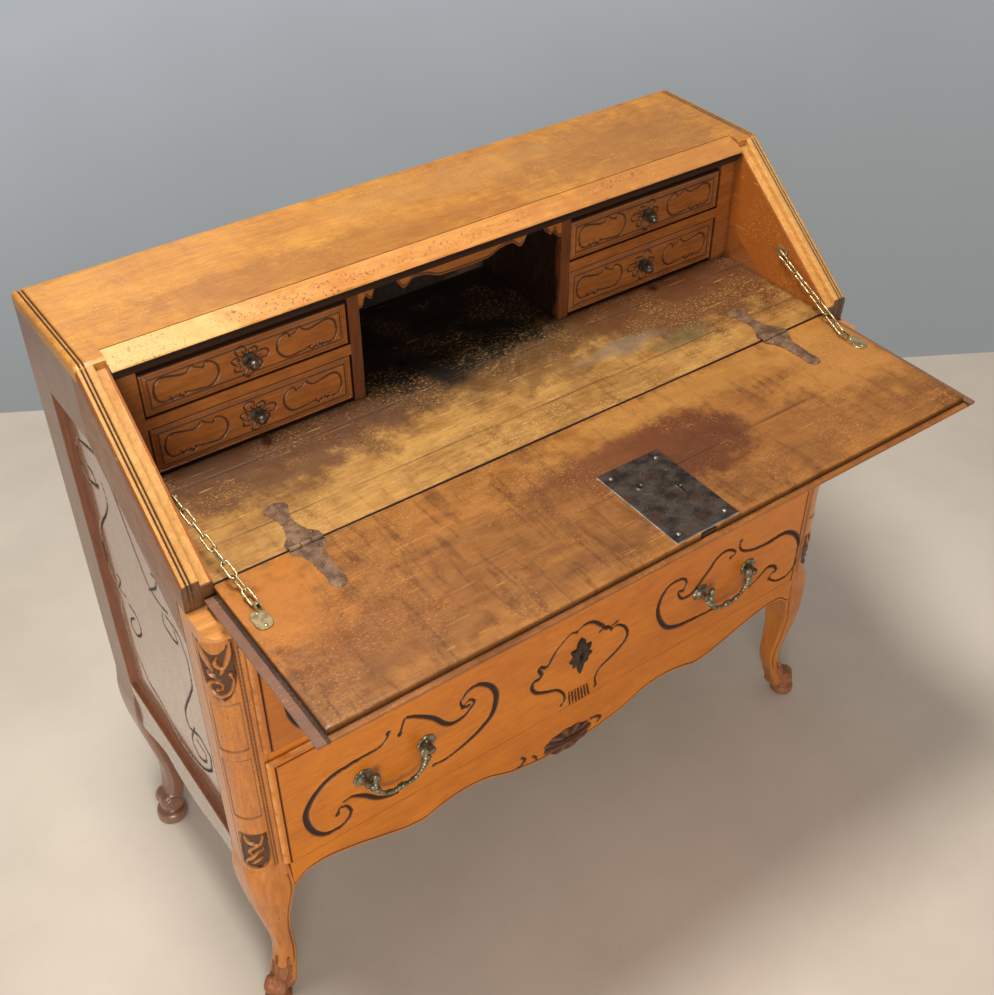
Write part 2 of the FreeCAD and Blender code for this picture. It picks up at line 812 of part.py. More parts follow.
def long_front(upper):
    low = row_height(upper, 0) + face_clear
    inner_top = (upper_head if upper else rail_bottom) - slide_clear
    lip_top = upper_lip_top if upper else drawer_lip_top
    inner = block(-front_inner_half, front_inner_half, front_back, post_front + turn_clear, low, inner_top)
    lip = block(-lip_side, lip_side, post_front + turn_clear, face_depth, low, lip_top)
    shape = inner.fuse(lip).removeSplitter()
    z = row_height(upper, key_height_share)
    return shape.cut(key_hole(z, face_depth - key_deep))


def long_box(floor, inner_top):
    outer = front_inner_half - slide_clear
    top = inner_top - box_drop
    sides = block(outer - box_thick, outer, box_back, front_back, floor, top)
    rear = block(box_thick - outer, outer - box_thick, box_back, box_back + box_thick, floor, top)
    panel = block(box_thick - outer, outer - box_thick, box_back + box_thick, front_back,
                  floor + panel_lift, floor + panel_lift + panel_thick)
    return Part.makeCompound(both(sides) + [rear, panel])


def key_plate(z):
    rise = key_plate_tall / 2
    right = [at(0, face_depth, z + rise), at(key_plate_half / 2, face_depth, z + rise * 2 / 3),
             at(key_plate_half, face_depth, z + rise / 2), at(key_plate_half * 2 / 3, face_depth, z),
             at(key_plate_half, face_depth, z - rise / 2),
             at(key_plate_half / 3, face_depth, z - rise * 2 / 3), at(0, face_depth, z - rise)]
    left = [FreeCAD.Vector(-p.x, p.y, p.z) for p in reversed(right[1:-1])]
    plate = straight_face(right + left).extrude(FreeCAD.Vector(0, -plate_thick, 0))
    plate.translate(FreeCAD.Vector(key_side, 0, 0))
    return plate.cut(key_hole(z, face_depth - overrun))


def bail_depth():
    return face_depth + bail_gap


def bail_posts(z):
    shapes = []
    for middle in (-bail_middle, bail_middle):
        for way in (-1, 1):
            x = middle + way * bail_half
            rosette = rod(at(x, face_depth, z), at(x, face_depth + rosette_thick, z), rosette_radius)
            stem = rod(at(x, face_depth, z), at(x, bail_depth() + bail_post_tip, z), bail_post_radius)
            bore = rod(at(x - bail_post_radius * 2, bail_depth(), z),
                       at(x + bail_post_radius * 2, bail_depth(), z), bail_pin + pin_clear)
            shapes.append(rosette.fuse(stem).cut(bore).removeSplitter())
    return Part.makeCompound(shapes)


def bail(middle, z):
    wide = bail_half - bail_post_radius - turn_clear * 2 - bail_end
    points = [at(middle - wide, bail_depth(), z),
              at(middle - wide * bail_bend_share, bail_depth(), z - bail_drop / 2),
              at(middle - wide / 2, bail_depth(), z - bail_drop * bail_low_share),
              at(middle, bail_depth(), z - bail_drop),
              at(middle + wide / 2, bail_depth(), z - bail_drop * bail_low_share),
              at(middle + wide * bail_bend_share, bail_depth(), z - bail_drop / 2),
              at(middle + wide, bail_depth(), z)]
    path = Part.Wire([curve(points)])
    tangent = points[1].sub(points[0])
    profile = Part.Wire([Part.makeCircle(bail_wire, points[0], tangent)])
    bow = path.makePipeShell([profile], True, True)
    for way in (-1, 1):
        end = at(middle + way * wide, bail_depth(), z)
        tip = at(middle + way * (bail_half + bail_post_radius), bail_depth(), z)
        bow = bow.fuse(rod(end, tip, bail_pin)).fuse(Part.makeSphere(bail_end, end))
    return bow.removeSplitter()


def build():
    lower_z = row_height(False, bail_height_share)
    upper_z = row_height(True, bail_height_share)
    shapes = {
        "top_board": top_board(),
        "top_front_rail": top_front_rail(),
        "writing_board": writing_board(),
        "waist_moulding": waist_moulding(),
        "front_right_post": front_post(),
        "rear_right_post": rear_post(),
        "right_side_top_rail": side_top_rail(),
        "right_slope_rail": slope_rail(),
        "right_side_bottom_rail": side_bottom_rail(),
        "right_side_panel": side_panel(),
        "back_panel": back_panel(),
        "drawer_divider_rail": drawer_divider_rail(),
        "front_apron": front_apron(),
        "bottom_board": bottom_board(),
        "middle_dust_board": middle_dust_board(),
        "drawer_guides": drawer_guides(),
        "gallery_partitions": gallery_partitions(),
        "gallery_frame_strips": gallery_frame_strips(),
        "gallery_shelves": gallery_shelves(),
        "niche_valance": niche_valance(),
        "hinge_upper_leaves": hinge_upper_leaves(),
        "hinge_lower_leaves": hinge_lower_leaves(),
        "hinge_pins": hinge_pins(),
        "chain_wall_eyes": chain_wall_eyes(),
        "lid_board": lid_board(),
        "lid_lock_plate": lid_lock_plate(),
        "lid_lock_nails": lid_lock_nails(),
        "lid_lock_bolt": lid_lock_bolt(),
        "lid_chain_plates": lid_chain_plates(),
        "upper_drawer_front": long_front(True),
        "upper_drawer_box": long_box(rail_top, upper_head),
        "upper_drawer_key_plate": key_plate(row_height(True, key_height_share)),
        "upper_drawer_bail_posts": bail_posts(upper_z),
        "lower_drawer_front": long_front(False),
        "lower_drawer_box": long_box(knee_height, rail_bottom),
        "lower_drawer_key_plate": key_plate(row_height(False, key_height_share)),
        "lower_drawer_bail_posts": bail_posts(lower_z),
    }
    for node in ("front_right_post", "rear_right_post", "right_side_top_rail", "right_slope_rail",
                 "right_side_bottom_rail", "right_side_panel"):
        shapes[node.replace("right", "left")] = mirrored(shapes[node])
    for side, word in ((-1, "left"), (1, "right")):
        shapes["chain_upper_" + word] = chain_upper(side)
        shapes["chain_lower_" + word] = chain_lower(side)
        shapes["upper_bail_" + word] = bail(side * bail_middle, upper_z)
        shapes["lower_bail_" + word] = bail(side * bail_middle, lower_z)
        for upper, row in ((True, "upper"), (False, "lower")):
            shapes["small_drawer_" + row + "_" + word] = small_drawer(side, upper)
            shapes["small_knob_" + row + "_" + word] = small_knob(side, upper)
    return shapes


os.makedirs("parts", exist_ok=True)
for node, shape in build().items():
    shape.exportStep("parts/" + node + ".step")
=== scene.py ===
import math
import bpy
import numpy as np
from mathutils import Euler, Matrix, Vector


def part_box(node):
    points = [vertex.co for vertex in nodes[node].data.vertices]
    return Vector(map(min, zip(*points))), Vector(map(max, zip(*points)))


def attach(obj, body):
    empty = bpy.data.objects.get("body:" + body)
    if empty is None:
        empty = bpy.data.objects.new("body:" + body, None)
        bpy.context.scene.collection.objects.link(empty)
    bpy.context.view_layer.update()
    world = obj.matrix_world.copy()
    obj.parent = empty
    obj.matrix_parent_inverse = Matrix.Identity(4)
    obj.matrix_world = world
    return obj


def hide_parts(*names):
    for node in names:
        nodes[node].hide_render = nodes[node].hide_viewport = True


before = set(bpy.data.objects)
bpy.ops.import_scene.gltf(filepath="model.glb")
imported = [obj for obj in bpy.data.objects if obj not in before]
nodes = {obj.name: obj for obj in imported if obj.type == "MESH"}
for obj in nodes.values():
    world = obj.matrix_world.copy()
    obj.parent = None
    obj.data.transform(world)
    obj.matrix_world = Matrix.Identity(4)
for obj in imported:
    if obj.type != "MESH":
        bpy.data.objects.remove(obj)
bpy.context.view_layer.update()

# Places are written in millimetres: x across, depth forward from the back plane, z up.
BACK_Y = 334.274
MM = 0.001
SIDES = ((-1, "left"), (1, "right"))


def at(x, depth, z):
    return (x * MM, (BACK_Y - depth) * MM, z * MM)


def rgb(red, green, blue):
    # A colour as a picture shows it, turned into linear light.
    out = []
    for value in (red, green, blue):
        share = value / 255
        out.append(share / 12.92 if share <= 0.04045 else ((share + 0.055) / 1.055) ** 2.4)
    return (*out, 1.0)


# Materials
class Nodes:
    # Short ways to write a node tree.
    def __init__(self, tree, output):
        self.tree = tree
        self.tree.nodes.clear()
        self.out = self.tree.nodes.new(output)

    def add(self, kind, inputs=None, **settings):
        node = self.tree.nodes.new(kind)
        for key, value in settings.items():
            setattr(node, key, value)
        for key, value in (inputs or {}).items():
            self.put(node.inputs[key], value)
        return node

    def put(self, socket, value):
        if isinstance(value, bpy.types.NodeSocket):
            self.tree.links.new(value, socket)
        else:
            socket.default_value = value

    def math(self, kind, *values, clamp=False):
        node = self.add("ShaderNodeMath", operation=kind, use_clamp=clamp)
        for socket, value in zip(node.inputs, values):
            self.put(socket, value)
        return node.outputs[0]

    def times(self, a, b):
        return self.math("MULTIPLY", a, b)

    def plus(self, a, b):
        return self.math("ADD", a, b)

    def mix(self, factor, a, b):
        return self.add("ShaderNodeMix", {"Factor": factor, 6: a, 7: b}, data_type="RGBA").outputs[2]

    def lay(self, colour, tint, *shares):
        # Lays a tint over a colour, by the product of the shares.
        product = shares[0]
        for share in shares[1:]:
            product = self.times(product, share)
        return self.mix(product, colour, rgb(*tint))

    def blend(self, factor, first, second):
        return self.add("ShaderNodeMixShader", {0: factor, 1: first, 2: second}).outputs[0]

    def span(self, value, low, high, to_low=0.0, to_high=1.0):
        ends = {"Value": value, "From Min": low, "From Max": high, "To Min": to_low, "To Max": to_high}
        return self.add("ShaderNodeMapRange", ends, interpolation_type="SMOOTHSTEP").outputs[0]

    def place(self):
        return self.add("ShaderNodeTexCoord").outputs["Object"]

    def scaled(self, vector, scale, turn=(0, 0, 0), shift=(0, 0, 0)):
        inputs = {"Vector": vector, "Scale": scale, "Rotation": turn, "Location": shift}
        return self.add("ShaderNodeMapping", inputs).outputs[0]

    def noise(self, vector, scale, detail=4.0, rough=0.55, distortion=0.0):
        inputs = {"Vector": vector, "Scale": scale, "Detail": detail, "Roughness": rough,
                  "Distortion": distortion}
        return self.add("ShaderNodeTexNoise", inputs).outputs["Fac"]

    def spots(self, vector, scale):
        return self.add("ShaderNodeTexVoronoi", {"Vector": vector, "Scale": scale}).outputs["Distance"]

    def attribute(self, name):
        return self.add("ShaderNodeAttribute", attribute_name=name).outputs["Fac"]

    # Ambient occlusion, with which the materials paint shade into hollows and corners.
    def cavity(self, distance):
        return self.add("ShaderNodeAmbientOcclusion", {"Distance": distance}, samples=4).outputs["AO"]

    def shader(self, colour, **inputs):
        return self.add("ShaderNodeBsdfPrincipled", {"Base Color": colour, **inputs})

    def bump(self, height, strength, distance):
        return self.add("ShaderNodeBump", {"Height": height, "Strength": strength,
                                           "Distance": distance}).outputs[0]

    def blob(self, centre, radii, edge=0.5, seed=0.0):
        # One at the middle of an uneven ellipsoid patch, nothing outside it.
        offset = self.add("ShaderNodeVectorMath", {0: self.place(), 1: at(*centre)}, operation="SUBTRACT")
        scale = self.add("ShaderNodeVectorMath", {0: offset.outputs[0], 1: [r * MM for r in radii]},
                         operation="DIVIDE")
        length = self.add("ShaderNodeVectorMath", {0: scale.outputs[0]}, operation="LENGTH")
        rough = self.noise(self.scaled(self.place(), (1, 1, 1), shift=(seed, seed, seed)), 30, 5, 0.65)
        ragged = self.times(self.math("SUBTRACT", rough, 0.5), edge * 3)
        far = self.plus(length.outputs["Value"], ragged)
        return self.span(far, 1.0 + edge / 2, 1.0 - edge / 2)


def new_material(name):
    material = bpy.data.materials.new(name)
    material.use_nodes = True
    return material, Nodes(material.node_tree, "ShaderNodeOutputMaterial")


GRAIN_TURNS = {"x": (0, 0, 0.5), "y": (0, 0, 1.1), "z": (0.4, 0.5, 0)}
# Painted shade in grooves, gaps and rebates, and the dark of seams and joints.
SHADE_AND_SEAM_DARK = (48, 27, 16)
# Painted shade in holes through metal.
HOLLOW_SHADE = (16, 12, 9)
# Painted shade in the crevices of metal.
METAL_CREVICE_SHADE = (18, 13, 10)
# A painted highlight on metal edges.
METAL_HIGHLIGHT = (190, 182, 168)
SPECK = (40, 24, 14)
SCAR = (104, 58, 44)


def stretched(grain, along, across):
    # Scales that differ along and across the grain.
    return tuple(along if axis == grain else across for axis in "xyz")


def wood(name, light, dark, grain="x", gloss=0.4, coat=0.0, coat_rough=0.2, mottle=0.5, ripple=0.0,
         flecks=0.2, grime_and_shade=0.5, stains=(), marks=(), pores=0.5, scratches=0.3, shift=0.0, broad=0.35,
         wear_and_highlight=(96, 62, 50), coat_ior=1.5, bumps=0.35):
    # stains hold centre, radii, colour, strength and ragged edge; marks hold centre, radii and strength.
    material, n = new_material(name)
    place = n.scaled(n.place(), (1, 1, 1), shift=(shift, shift * 0.7, shift * 1.3))

    def grained(along, across, detail, rough, distortion=0.0, **move):
        spread = n.scaled(place, stretched(grain, along, across), **move)
        return n.noise(spread, 1, detail, rough, distortion)

    fibre = n.noise(n.scaled(place, stretched(grain, 1, 9)), 22, 7, 0.62, 0.4)
    cloud = grained(5.5, 12, 6, 0.62, 0.6)
    small_cloud = grained(24, 40, 6, 0.68, 0.5)
    wide = n.noise(place, 2.6, 3, 0.5, 0.3)
    pore = n.span(grained(60, 700, 3, 0.6), 0.6, 0.72)
    tone = n.times(n.span(fibre, 0.3, 0.72), 1 - mottle)
    clouds = n.plus(n.times(n.span(cloud, 0.3, 0.7), 0.55), n.times(n.span(small_cloud, 0.34, 0.66), 0.45))
    tone = n.plus(tone, n.times(clouds, mottle))
    tone = n.math("ADD", tone, n.times(n.math("SUBTRACT", wide, 0.5), broad * 2), clamp=True)
    if ripple:
        bands = n.span(grained(62, 9, 5, 0.66, 0.7), 0.5, 0.64)
        tone = n.math("SUBTRACT", tone, n.times(bands, ripple), clamp=True)
    colour = n.mix(tone, rgb(*dark), rgb(*light))
    colour = n.lay(colour, [c * 0.45 for c in dark], pore, pores * 0.5)
    for i, (centre, radii, tint, strength, edge) in enumerate(stains):
        colour = n.lay(colour, tint, n.blob(centre, radii, edge, 3.1 * i), strength)
    worn_places = n.span(n.noise(place, 11, 3, 0.6), 0.42, 0.62)
    fleck = n.span(grained(210, 620, 4, 0.7), 0.53, 0.68)
    pale = [min(255, c * 1.12 + 26) for c in light]
    colour = n.lay(colour, pale, fleck, worn_places, flecks)
    dark_fleck = n.span(grained(120, 300, 5, 0.7, shift=(5, 2, 7)), 0.58, 0.7)
    dark_places = n.span(n.noise(place, 13, 3, 0.6), 0.46, 0.6)
    colour = n.lay(colour, [c * 0.5 for c in dark], dark_fleck, dark_places, grime_and_shade * 0.8)
    for k, turn in enumerate((0.35, -0.6, 1.2)):
        turns = tuple(turn * s for s in GRAIN_TURNS[grain])
        line = n.span(grained(4, 190, 2, 0.5, turn=turns, shift=(k * 3.0, k, k * 2.0)), 0.68, 0.73)
        broken = n.span(n.noise(place, 31 + 7 * k, 2), 0.5, 0.6)
        colour = n.lay(colour, pale, line, broken, scratches * 0.6)
    speck = n.span(n.spots(place, 95), 0.11, 0.05)
    few = n.span(n.noise(place, 14, 2), 0.52, 0.62)
    colour = n.lay(colour, SPECK, speck, few, grime_and_shade)
    for i, (centre, radii, strength) in enumerate(marks):
        scar = n.noise(n.scaled(place, (240, 200, 170), shift=(i, 2 * i, i)), 1, 3, 0.6, 1.2)
        scar_place = n.blob(centre, radii, 0.8, 5.3 * i + 1)
        colour = n.lay(colour, SCAR, n.span(scar, 0.57, 0.62), scar_place, strength)
    # Painted shade: darker where the surface is occluded, in corners and hollows.
    colour = n.lay(colour, [c * 0.3 for c in dark], n.span(n.cavity(0.014), 0.78, 0.25), grime_and_shade)
    colour = n.lay(colour, wear_and_highlight, n.attribute("wear_and_highlight"), n.span(n.noise(place, 60, 4), 0.35, 0.6))
    # Painted shade in grooves, holes, gaps and rebates, and the dark of seams.
    colour = n.lay(colour, SHADE_AND_SEAM_DARK, n.attribute("cut"), 0.94)
    shader = n.shader(colour)
    shader.inputs["Coat Weight"].default_value = coat
    shader.inputs["Coat Roughness"].default_value = coat_rough
    shader.inputs["Coat IOR"].default_value = coat_ior
    n.put(shader.inputs["Roughness"], n.span(small_cloud, 0.3, 0.7, gloss * 0.8, gloss * 1.25))
    height = n.plus(n.times(fibre, 0.5), n.times(pore, -0.5))
    height = n.plus(height, n.times(cloud, 1.2))
    height = n.plus(height, n.times(dark_fleck, -0.25))
    n.put(shader.inputs["Normal"], n.bump(height, bumps, 0.0012))
    # A dull dark shader there too, so that no coat reflection lightens the painted shade.
    groove = n.shader(rgb(*SHADE_AND_SEAM_DARK), Roughness=0.7)
    n.put(n.out.inputs["Surface"], n.blend(n.attribute("cut"), shader.outputs[0], groove.outputs[0]))
    return material


def metal(name, bright, dull, rough=0.45, metallic=0.9, patches=40, pits=0.5, tint=None):
    material, n = new_material(name)
    place = n.place()
    cloud = n.noise(place, patches, 6, 0.65)
    grain = n.noise(place, patches * 9, 4, 0.6)
    colour = n.mix(n.span(cloud, 0.35, 0.65), rgb(*dull), rgb(*bright))
    if tint:
        colour = n.lay(colour, tint, n.span(n.noise(place, patches * 0.7, 5, 0.7), 0.52, 0.66), 0.7)
    # Painted shade: darker where the metal is occluded, in its crevices.
    colour = n.lay(colour, METAL_CREVICE_SHADE, n.span(n.cavity(0.004), 0.8, 0.2, 0, 0.7))
    # Painted shade in holes.
    colour = n.lay(colour, HOLLOW_SHADE, n.attribute("cut"), 0.9)
    # A painted highlight on the lock plate's edges.
    colour = n.lay(colour, METAL_HIGHLIGHT, n.attribute("wear_and_highlight"), 0.8)
    shader = n.shader(colour)
    n.put(shader.inputs["Metallic"], n.span(cloud, 0.3, 0.7, metallic * 0.6, metallic))
    n.put(shader.inputs["Roughness"], n.span(grain, 0.3, 0.7, rough * 0.8, min(1, rough * 1.3)))
    n.put(shader.inputs["Normal"], n.bump(n.plus(cloud, n.times(grain, 0.5)), pits, 0.0006))
    n.put(n.out.inputs["Surface"], shader.outputs[0])
    return material


def pair(x, depth, z, *rest):
    # The same stain or mark on both sides of the middle.
    return ((-x, depth, z), *rest), ((x, depth, z), *rest)


top_wood = wood("top_wood", (222, 155, 62), (170, 105, 36), mottle=0.65, gloss=0.36, coat=0.25,
                coat_rough=0.3, scratches=0.3, flecks=0.4, ripple=0.12, grime_and_shade=0.4,
                stains=(((-140, 150, 981), (240, 45, 40), (150, 92, 40), 0.5, 0.9),
                        ((330, 110, 981), (200, 90, 40), (150, 98, 52), 0.6, 0.9),
                        ((60, 60, 981), (200, 40, 40), (190, 136, 76), 0.5, 0.9)))
# Paler towards the left end, a painted highlight, and darker towards the right end, painted shade.
fascia_wood = wood("fascia_wood", (228, 160, 86), (192, 120, 52), gloss=0.34, coat=0.2, shift=1.3,
                   grime_and_shade=0.5, flecks=0.3, scratches=0.2, broad=0.2,
                   stains=(((-470, 198, 975), (150, 40, 30), (240, 190, 118), 0.75, 0.7),
                           ((330, 198, 975), (190, 40, 30), (176, 116, 58), 0.6, 0.9)),
                   marks=(((-230, 200, 973), (130, 12, 12), 0.8), ((0, 198, 974), (120, 9, 9), 0.75),
                          ((250, 194, 975), (60, 9, 9), 0.7), ((-440, 198, 975), (60, 30, 30), 0.5)))
slope_wood = wood("slope_wood", (234, 178, 102), (194, 128, 60), grain="y", gloss=0.36, coat=0.2, shift=2.1,
                  flecks=0.3,
                  stains=(*pair(482.6, 300, 850, (3, 900, 900), (160, 86, 26), 0.97, 0.05),
                          *pair(520, 300, 850, (2.6, 900, 900), (132, 74, 34), 0.95, 0.05),
                          *pair(501, 415, 780, (60, 4, 40), (88, 54, 38), 0.9, 0.1)))
side_wood = wood("side_wood", (140, 78, 36), (96, 52, 24), grain="z", gloss=0.45, coat=0.8, coat_rough=0.3,
                 coat_ior=2.3, mottle=0.4, shift=3.7, scratches=0.1, flecks=0.1)
rail_wood = wood("rail_wood", (140, 80, 36), (96, 52, 24), gloss=0.3, coat=1.0, coat_rough=0.12,
                 coat_ior=1.7, mottle=0.4, shift=3.9, scratches=0.1, flecks=0.1, bumps=0.1)
# Paler than the side frame: partly the panel's own tone, partly a painted reflection.
panel_wood = wood("panel_wood", (164, 108, 66), (128, 80, 46), grain="z", gloss=0.26, coat=1.0,
                  coat_rough=0.1, coat_ior=2.8, mottle=0.4, shift=4.4, scratches=0.1, flecks=0.1, bumps=0.02,
                  stains=pair(482.6, 220, 700, (6, 900, 900), (150, 84, 30), 0.97, 0.05))
FRONT_LOOK = {"gloss": 0.36, "coat": 0.12, "coat_rough": 0.25, "mottle": 0.6, "flecks": 0.12,
              "scratches": 0.15, "grime_and_shade": 0.35}
front_wood = wood("front_wood", (224, 134, 30), (186, 98, 16), shift=5.2, wear_and_highlight=(238, 182, 116), **FRONT_LOOK)
# A darker copy of the drawer front wood: painted shadow of the open lid over the upper drawer.
upper_front_wood = wood("upper_front_wood", (208, 122, 28), (168, 88, 15), shift=5.6, wear_and_highlight=(222, 160, 98),
                        **FRONT_LOOK)
post_wood = wood("post_wood", (222, 136, 36), (172, 94, 22), grain="z", gloss=0.36, coat=0.5,
                 coat_rough=0.15, coat_ior=1.7, shift=6.1, flecks=0.3, grime_and_shade=0.85, scratches=0.5, bumps=0.2,
                 marks=pair(500, 440, 600, (60, 60, 160), 0.3),
                 stains=pair(500, 438, 792, (24, 30, 16), (112, 70, 40), 0.8, 0.4))
board_wood = wood("board_wood", (206, 154, 80), (130, 84, 36), gloss=0.55, mottle=0.7, grime_and_shade=0.9,
                  scratches=0.5, shift=7.3, pores=0.9, flecks=0.6, ripple=0.2,
                  stains=(((0, 212, 793), (560, 60, 30), (78, 46, 24), 0.9, 0.5),
                          ((-330, 240, 793), (220, 74, 30), (92, 56, 32), 0.85, 0.7),
                          ((370, 250, 793), (190, 96, 30), (98, 56, 26), 0.9, 0.6),
                          ((60, 262, 793), (130, 54, 30), (104, 70, 34), 0.7, 0.8),
                          ((275, 336, 793), (50, 18, 30), (108, 98, 60), 0.6, 0.8),
                          ((190, 305, 793), (60, 18, 30), (140, 124, 104), 0.5, 0.8),
                          # Near black over the board in the niche under the gallery: painted shade.
                          ((0, 70, 793), (230, 170, 60), (16, 10, 7), 0.98, 0.25)))
lid_wood = wood("lid_wood", (184, 120, 50), (116, 68, 25), gloss=0.45, coat=0.12, mottle=0.8, grime_and_shade=0.8,
                scratches=0.5, shift=8.6, flecks=0.6, ripple=0.4, broad=0.25,
                stains=(((-440, 480, 793), (70, 70, 30), (204, 126, 44), 0.7, 0.9),
                        ((-360, 560, 793), (110, 60, 30), (132, 72, 32), 0.35, 0.9),
                        ((0, 540, 793), (260, 60, 30), (130, 80, 34), 0.4, 0.9),
                        ((330, 600, 793), (190, 50, 30), (134, 82, 36), 0.4, 0.9),
                        ((420, 480, 793), (110, 90, 30), (196, 134, 62), 0.6, 0.9),
                        ((200, 440, 793), (230, 26, 30), (196, 140, 66), 0.5, 0.9),
                        ((122, 528, 793), (84, 62, 30), (92, 42, 12), 0.88, 0.5),
                        ((20, 500, 793), (110, 34, 30), (112, 60, 26), 0.8, 0.6),
                        ((-20, 618, 793), (480, 18, 30), (104, 62, 30), 0.3, 0.9)),
                marks=(((-400, 560, 793), (80, 70, 30), 0.3),))
gallery_wood = wood("gallery_wood", (178, 106, 46), (122, 70, 28), gloss=0.36, coat=0.2, shift=9.2,
                    flecks=0.1, scratches=0.1, grime_and_shade=0.8)
partition_wood = wood("partition_wood", (120, 66, 30), (70, 36, 16), grain="z", gloss=0.45, shift=9.9,
                      grime_and_shade=0.9, flecks=0.1,
                      # Near black over all but the front edges: painted shade inside the gallery.
                      stains=(((0, 55, 880), (900, 141, 900), (26, 14, 8), 0.97, 0.08),))
back_wood = wood("back_wood", (120, 82, 50), (74, 48, 28), grain="z", gloss=0.7, shift=13.4, grime_and_shade=0.8,
                 # Near black behind the niche: painted shade.
                 stains=(((0, 16, 880), (190, 11, 100), (30, 17, 10), 0.97, 0.1),))
pine_wood = wood("pine_wood", (186, 146, 96), (140, 102, 62), gloss=0.7, shift=12.7, pores=0.3)
cove_wood = wood("cove_wood", (140, 72, 26), (88, 44, 18), grain="z", gloss=0.4, coat=0.2, shift=13.3)
foot_wood = wood("foot_wood", (186, 118, 72), (122, 70, 38), grain="z", gloss=0.45, shift=14.1, grime_and_shade=0.8,
                 flecks=0.5)
lip_wood = wood("lip_wood", (180, 112, 50), (116, 66, 28), gloss=0.42, shift=15.7, mottle=0.7, grime_and_shade=0.9,
                scratches=0.4, flecks=0.6, bumps=0.2,
                stains=(((0, 540, 777.2), (700, 700, 3), (206, 124, 40), 0.85, 0.05),
                        *pair(504, 520, 785, (19, 300, 7.4), (126, 92, 76), 0.85, 0.3),
                        # A dark line where the lip meets the field: painted shade.
                        *pair(484, 520, 783, (3, 300, 3), (44, 26, 20), 0.9, 0.1)))
iron = metal("iron", (152, 118, 90), (96, 70, 54), rough=0.5, metallic=0.25, patches=70, pits=0.8,
             tint=(112, 70, 46))
lock_iron = metal("lock_iron", (96, 84, 76), (38, 30, 26), rough=0.38, metallic=0.6, patches=45,
                  tint=(92, 56, 38))
nail_iron = metal("nail_iron", (190, 180, 168), (110, 98, 88), rough=0.3)
chain_metal = metal("chain_metal", (226, 206, 160), (150, 126, 84), rough=0.32, patches=120)
key_iron = metal("key_iron", (84, 72, 54), (40, 30, 22), rough=0.42, metallic=0.6, patches=90)
bail_metal = metal("bail_metal", (176, 172, 148), (84, 78, 60), rough=0.34, patches=90, tint=(104, 118, 98))
knob_metal = metal("knob_metal", (120, 110, 98), (52, 44, 38), rough=0.3, patches=90)


def dress(obj, material):
    obj.data.materials.clear()
    obj.data.materials.append(material)


dressed = [
    (top_wood, "top_board"), (fascia_wood, "top_front_rail waist_moulding"), (board_wood, "writing_board"),
    (back_wood, "back_panel"), (front_wood, "drawer_divider_rail front_apron lower_drawer_front"),
    (upper_front_wood, "upper_drawer_front"), (partition_wood, "gallery_partitions"),
    (pine_wood, "bottom_board middle_dust_board drawer_guides upper_drawer_box lower_drawer_box"),
    (gallery_wood, "gallery_frame_strips gallery_shelves niche_valance"),
    (iron, "hinge_upper_leaves hinge_lower_leaves hinge_pins"), (lid_wood, "lid_board"),
    (chain_metal, "chain_wall_eyes lid_chain_plates"), (lock_iron, "lid_lock_plate lid_lock_bolt"),
    (nail_iron, "lid_lock_nails"), (key_iron, "upper_drawer_key_plate lower_drawer_key_plate"),
    (bail_metal, "upper_drawer_bail_posts lower_drawer_bail_posts"),
]
for _, word in SIDES:
    dressed += [
        (post_wood, f"front_{word}_post"), (rail_wood, f"{word}_side_bottom_rail"),
        (side_wood, f"rear_{word}_post {word}_side_top_rail {word}_slope_rail"),
        (panel_wood, f"{word}_side_panel"), (chain_metal, f"chain_upper_{word} chain_lower_{word}"),
        (bail_metal, f"upper_bail_{word} lower_bail_{word}"),
        (gallery_wood, f"small_drawer_upper_{word} small_drawer_lower_{word}"),
        (knob_metal, f"small_knob_upper_{word} small_knob_lower_{word}"),
    ]
for material, names in dressed:
    for node_name in names.split():
        dress(nodes[node_name], material)


# Shapes
def outward_faces(points, faces):
    # Turns a closed body's faces so that they look outward.
    quads = np.array([face for face in faces if len(face) == 4]).reshape(-1, 4)
    a, b, c, d = (points[quads[:, k]] for k in range(4))
    total = (a * (np.cross(b, c) + np.cross(c, d))).sum()
    for face in faces:
        if len(face) != 4:
            for j in range(1, len(face) - 1):
                total += points[face[0]] @ np.cross(points[face[j]], points[face[j + 1]])
    return faces if total < 0 else [tuple(reversed(face)) for face in faces]


def joined(*bodies):
    # One set of points and faces from closed bodies, each facing outward.
    all_points = []
    all_faces = []
    start = 0
    for points, faces in bodies:
        all_points.append(points)
        all_faces += [tuple(start + i for i in face) for face in outward_faces(points, faces)]
        start += len(points)
    return np.concatenate(all_points), all_faces


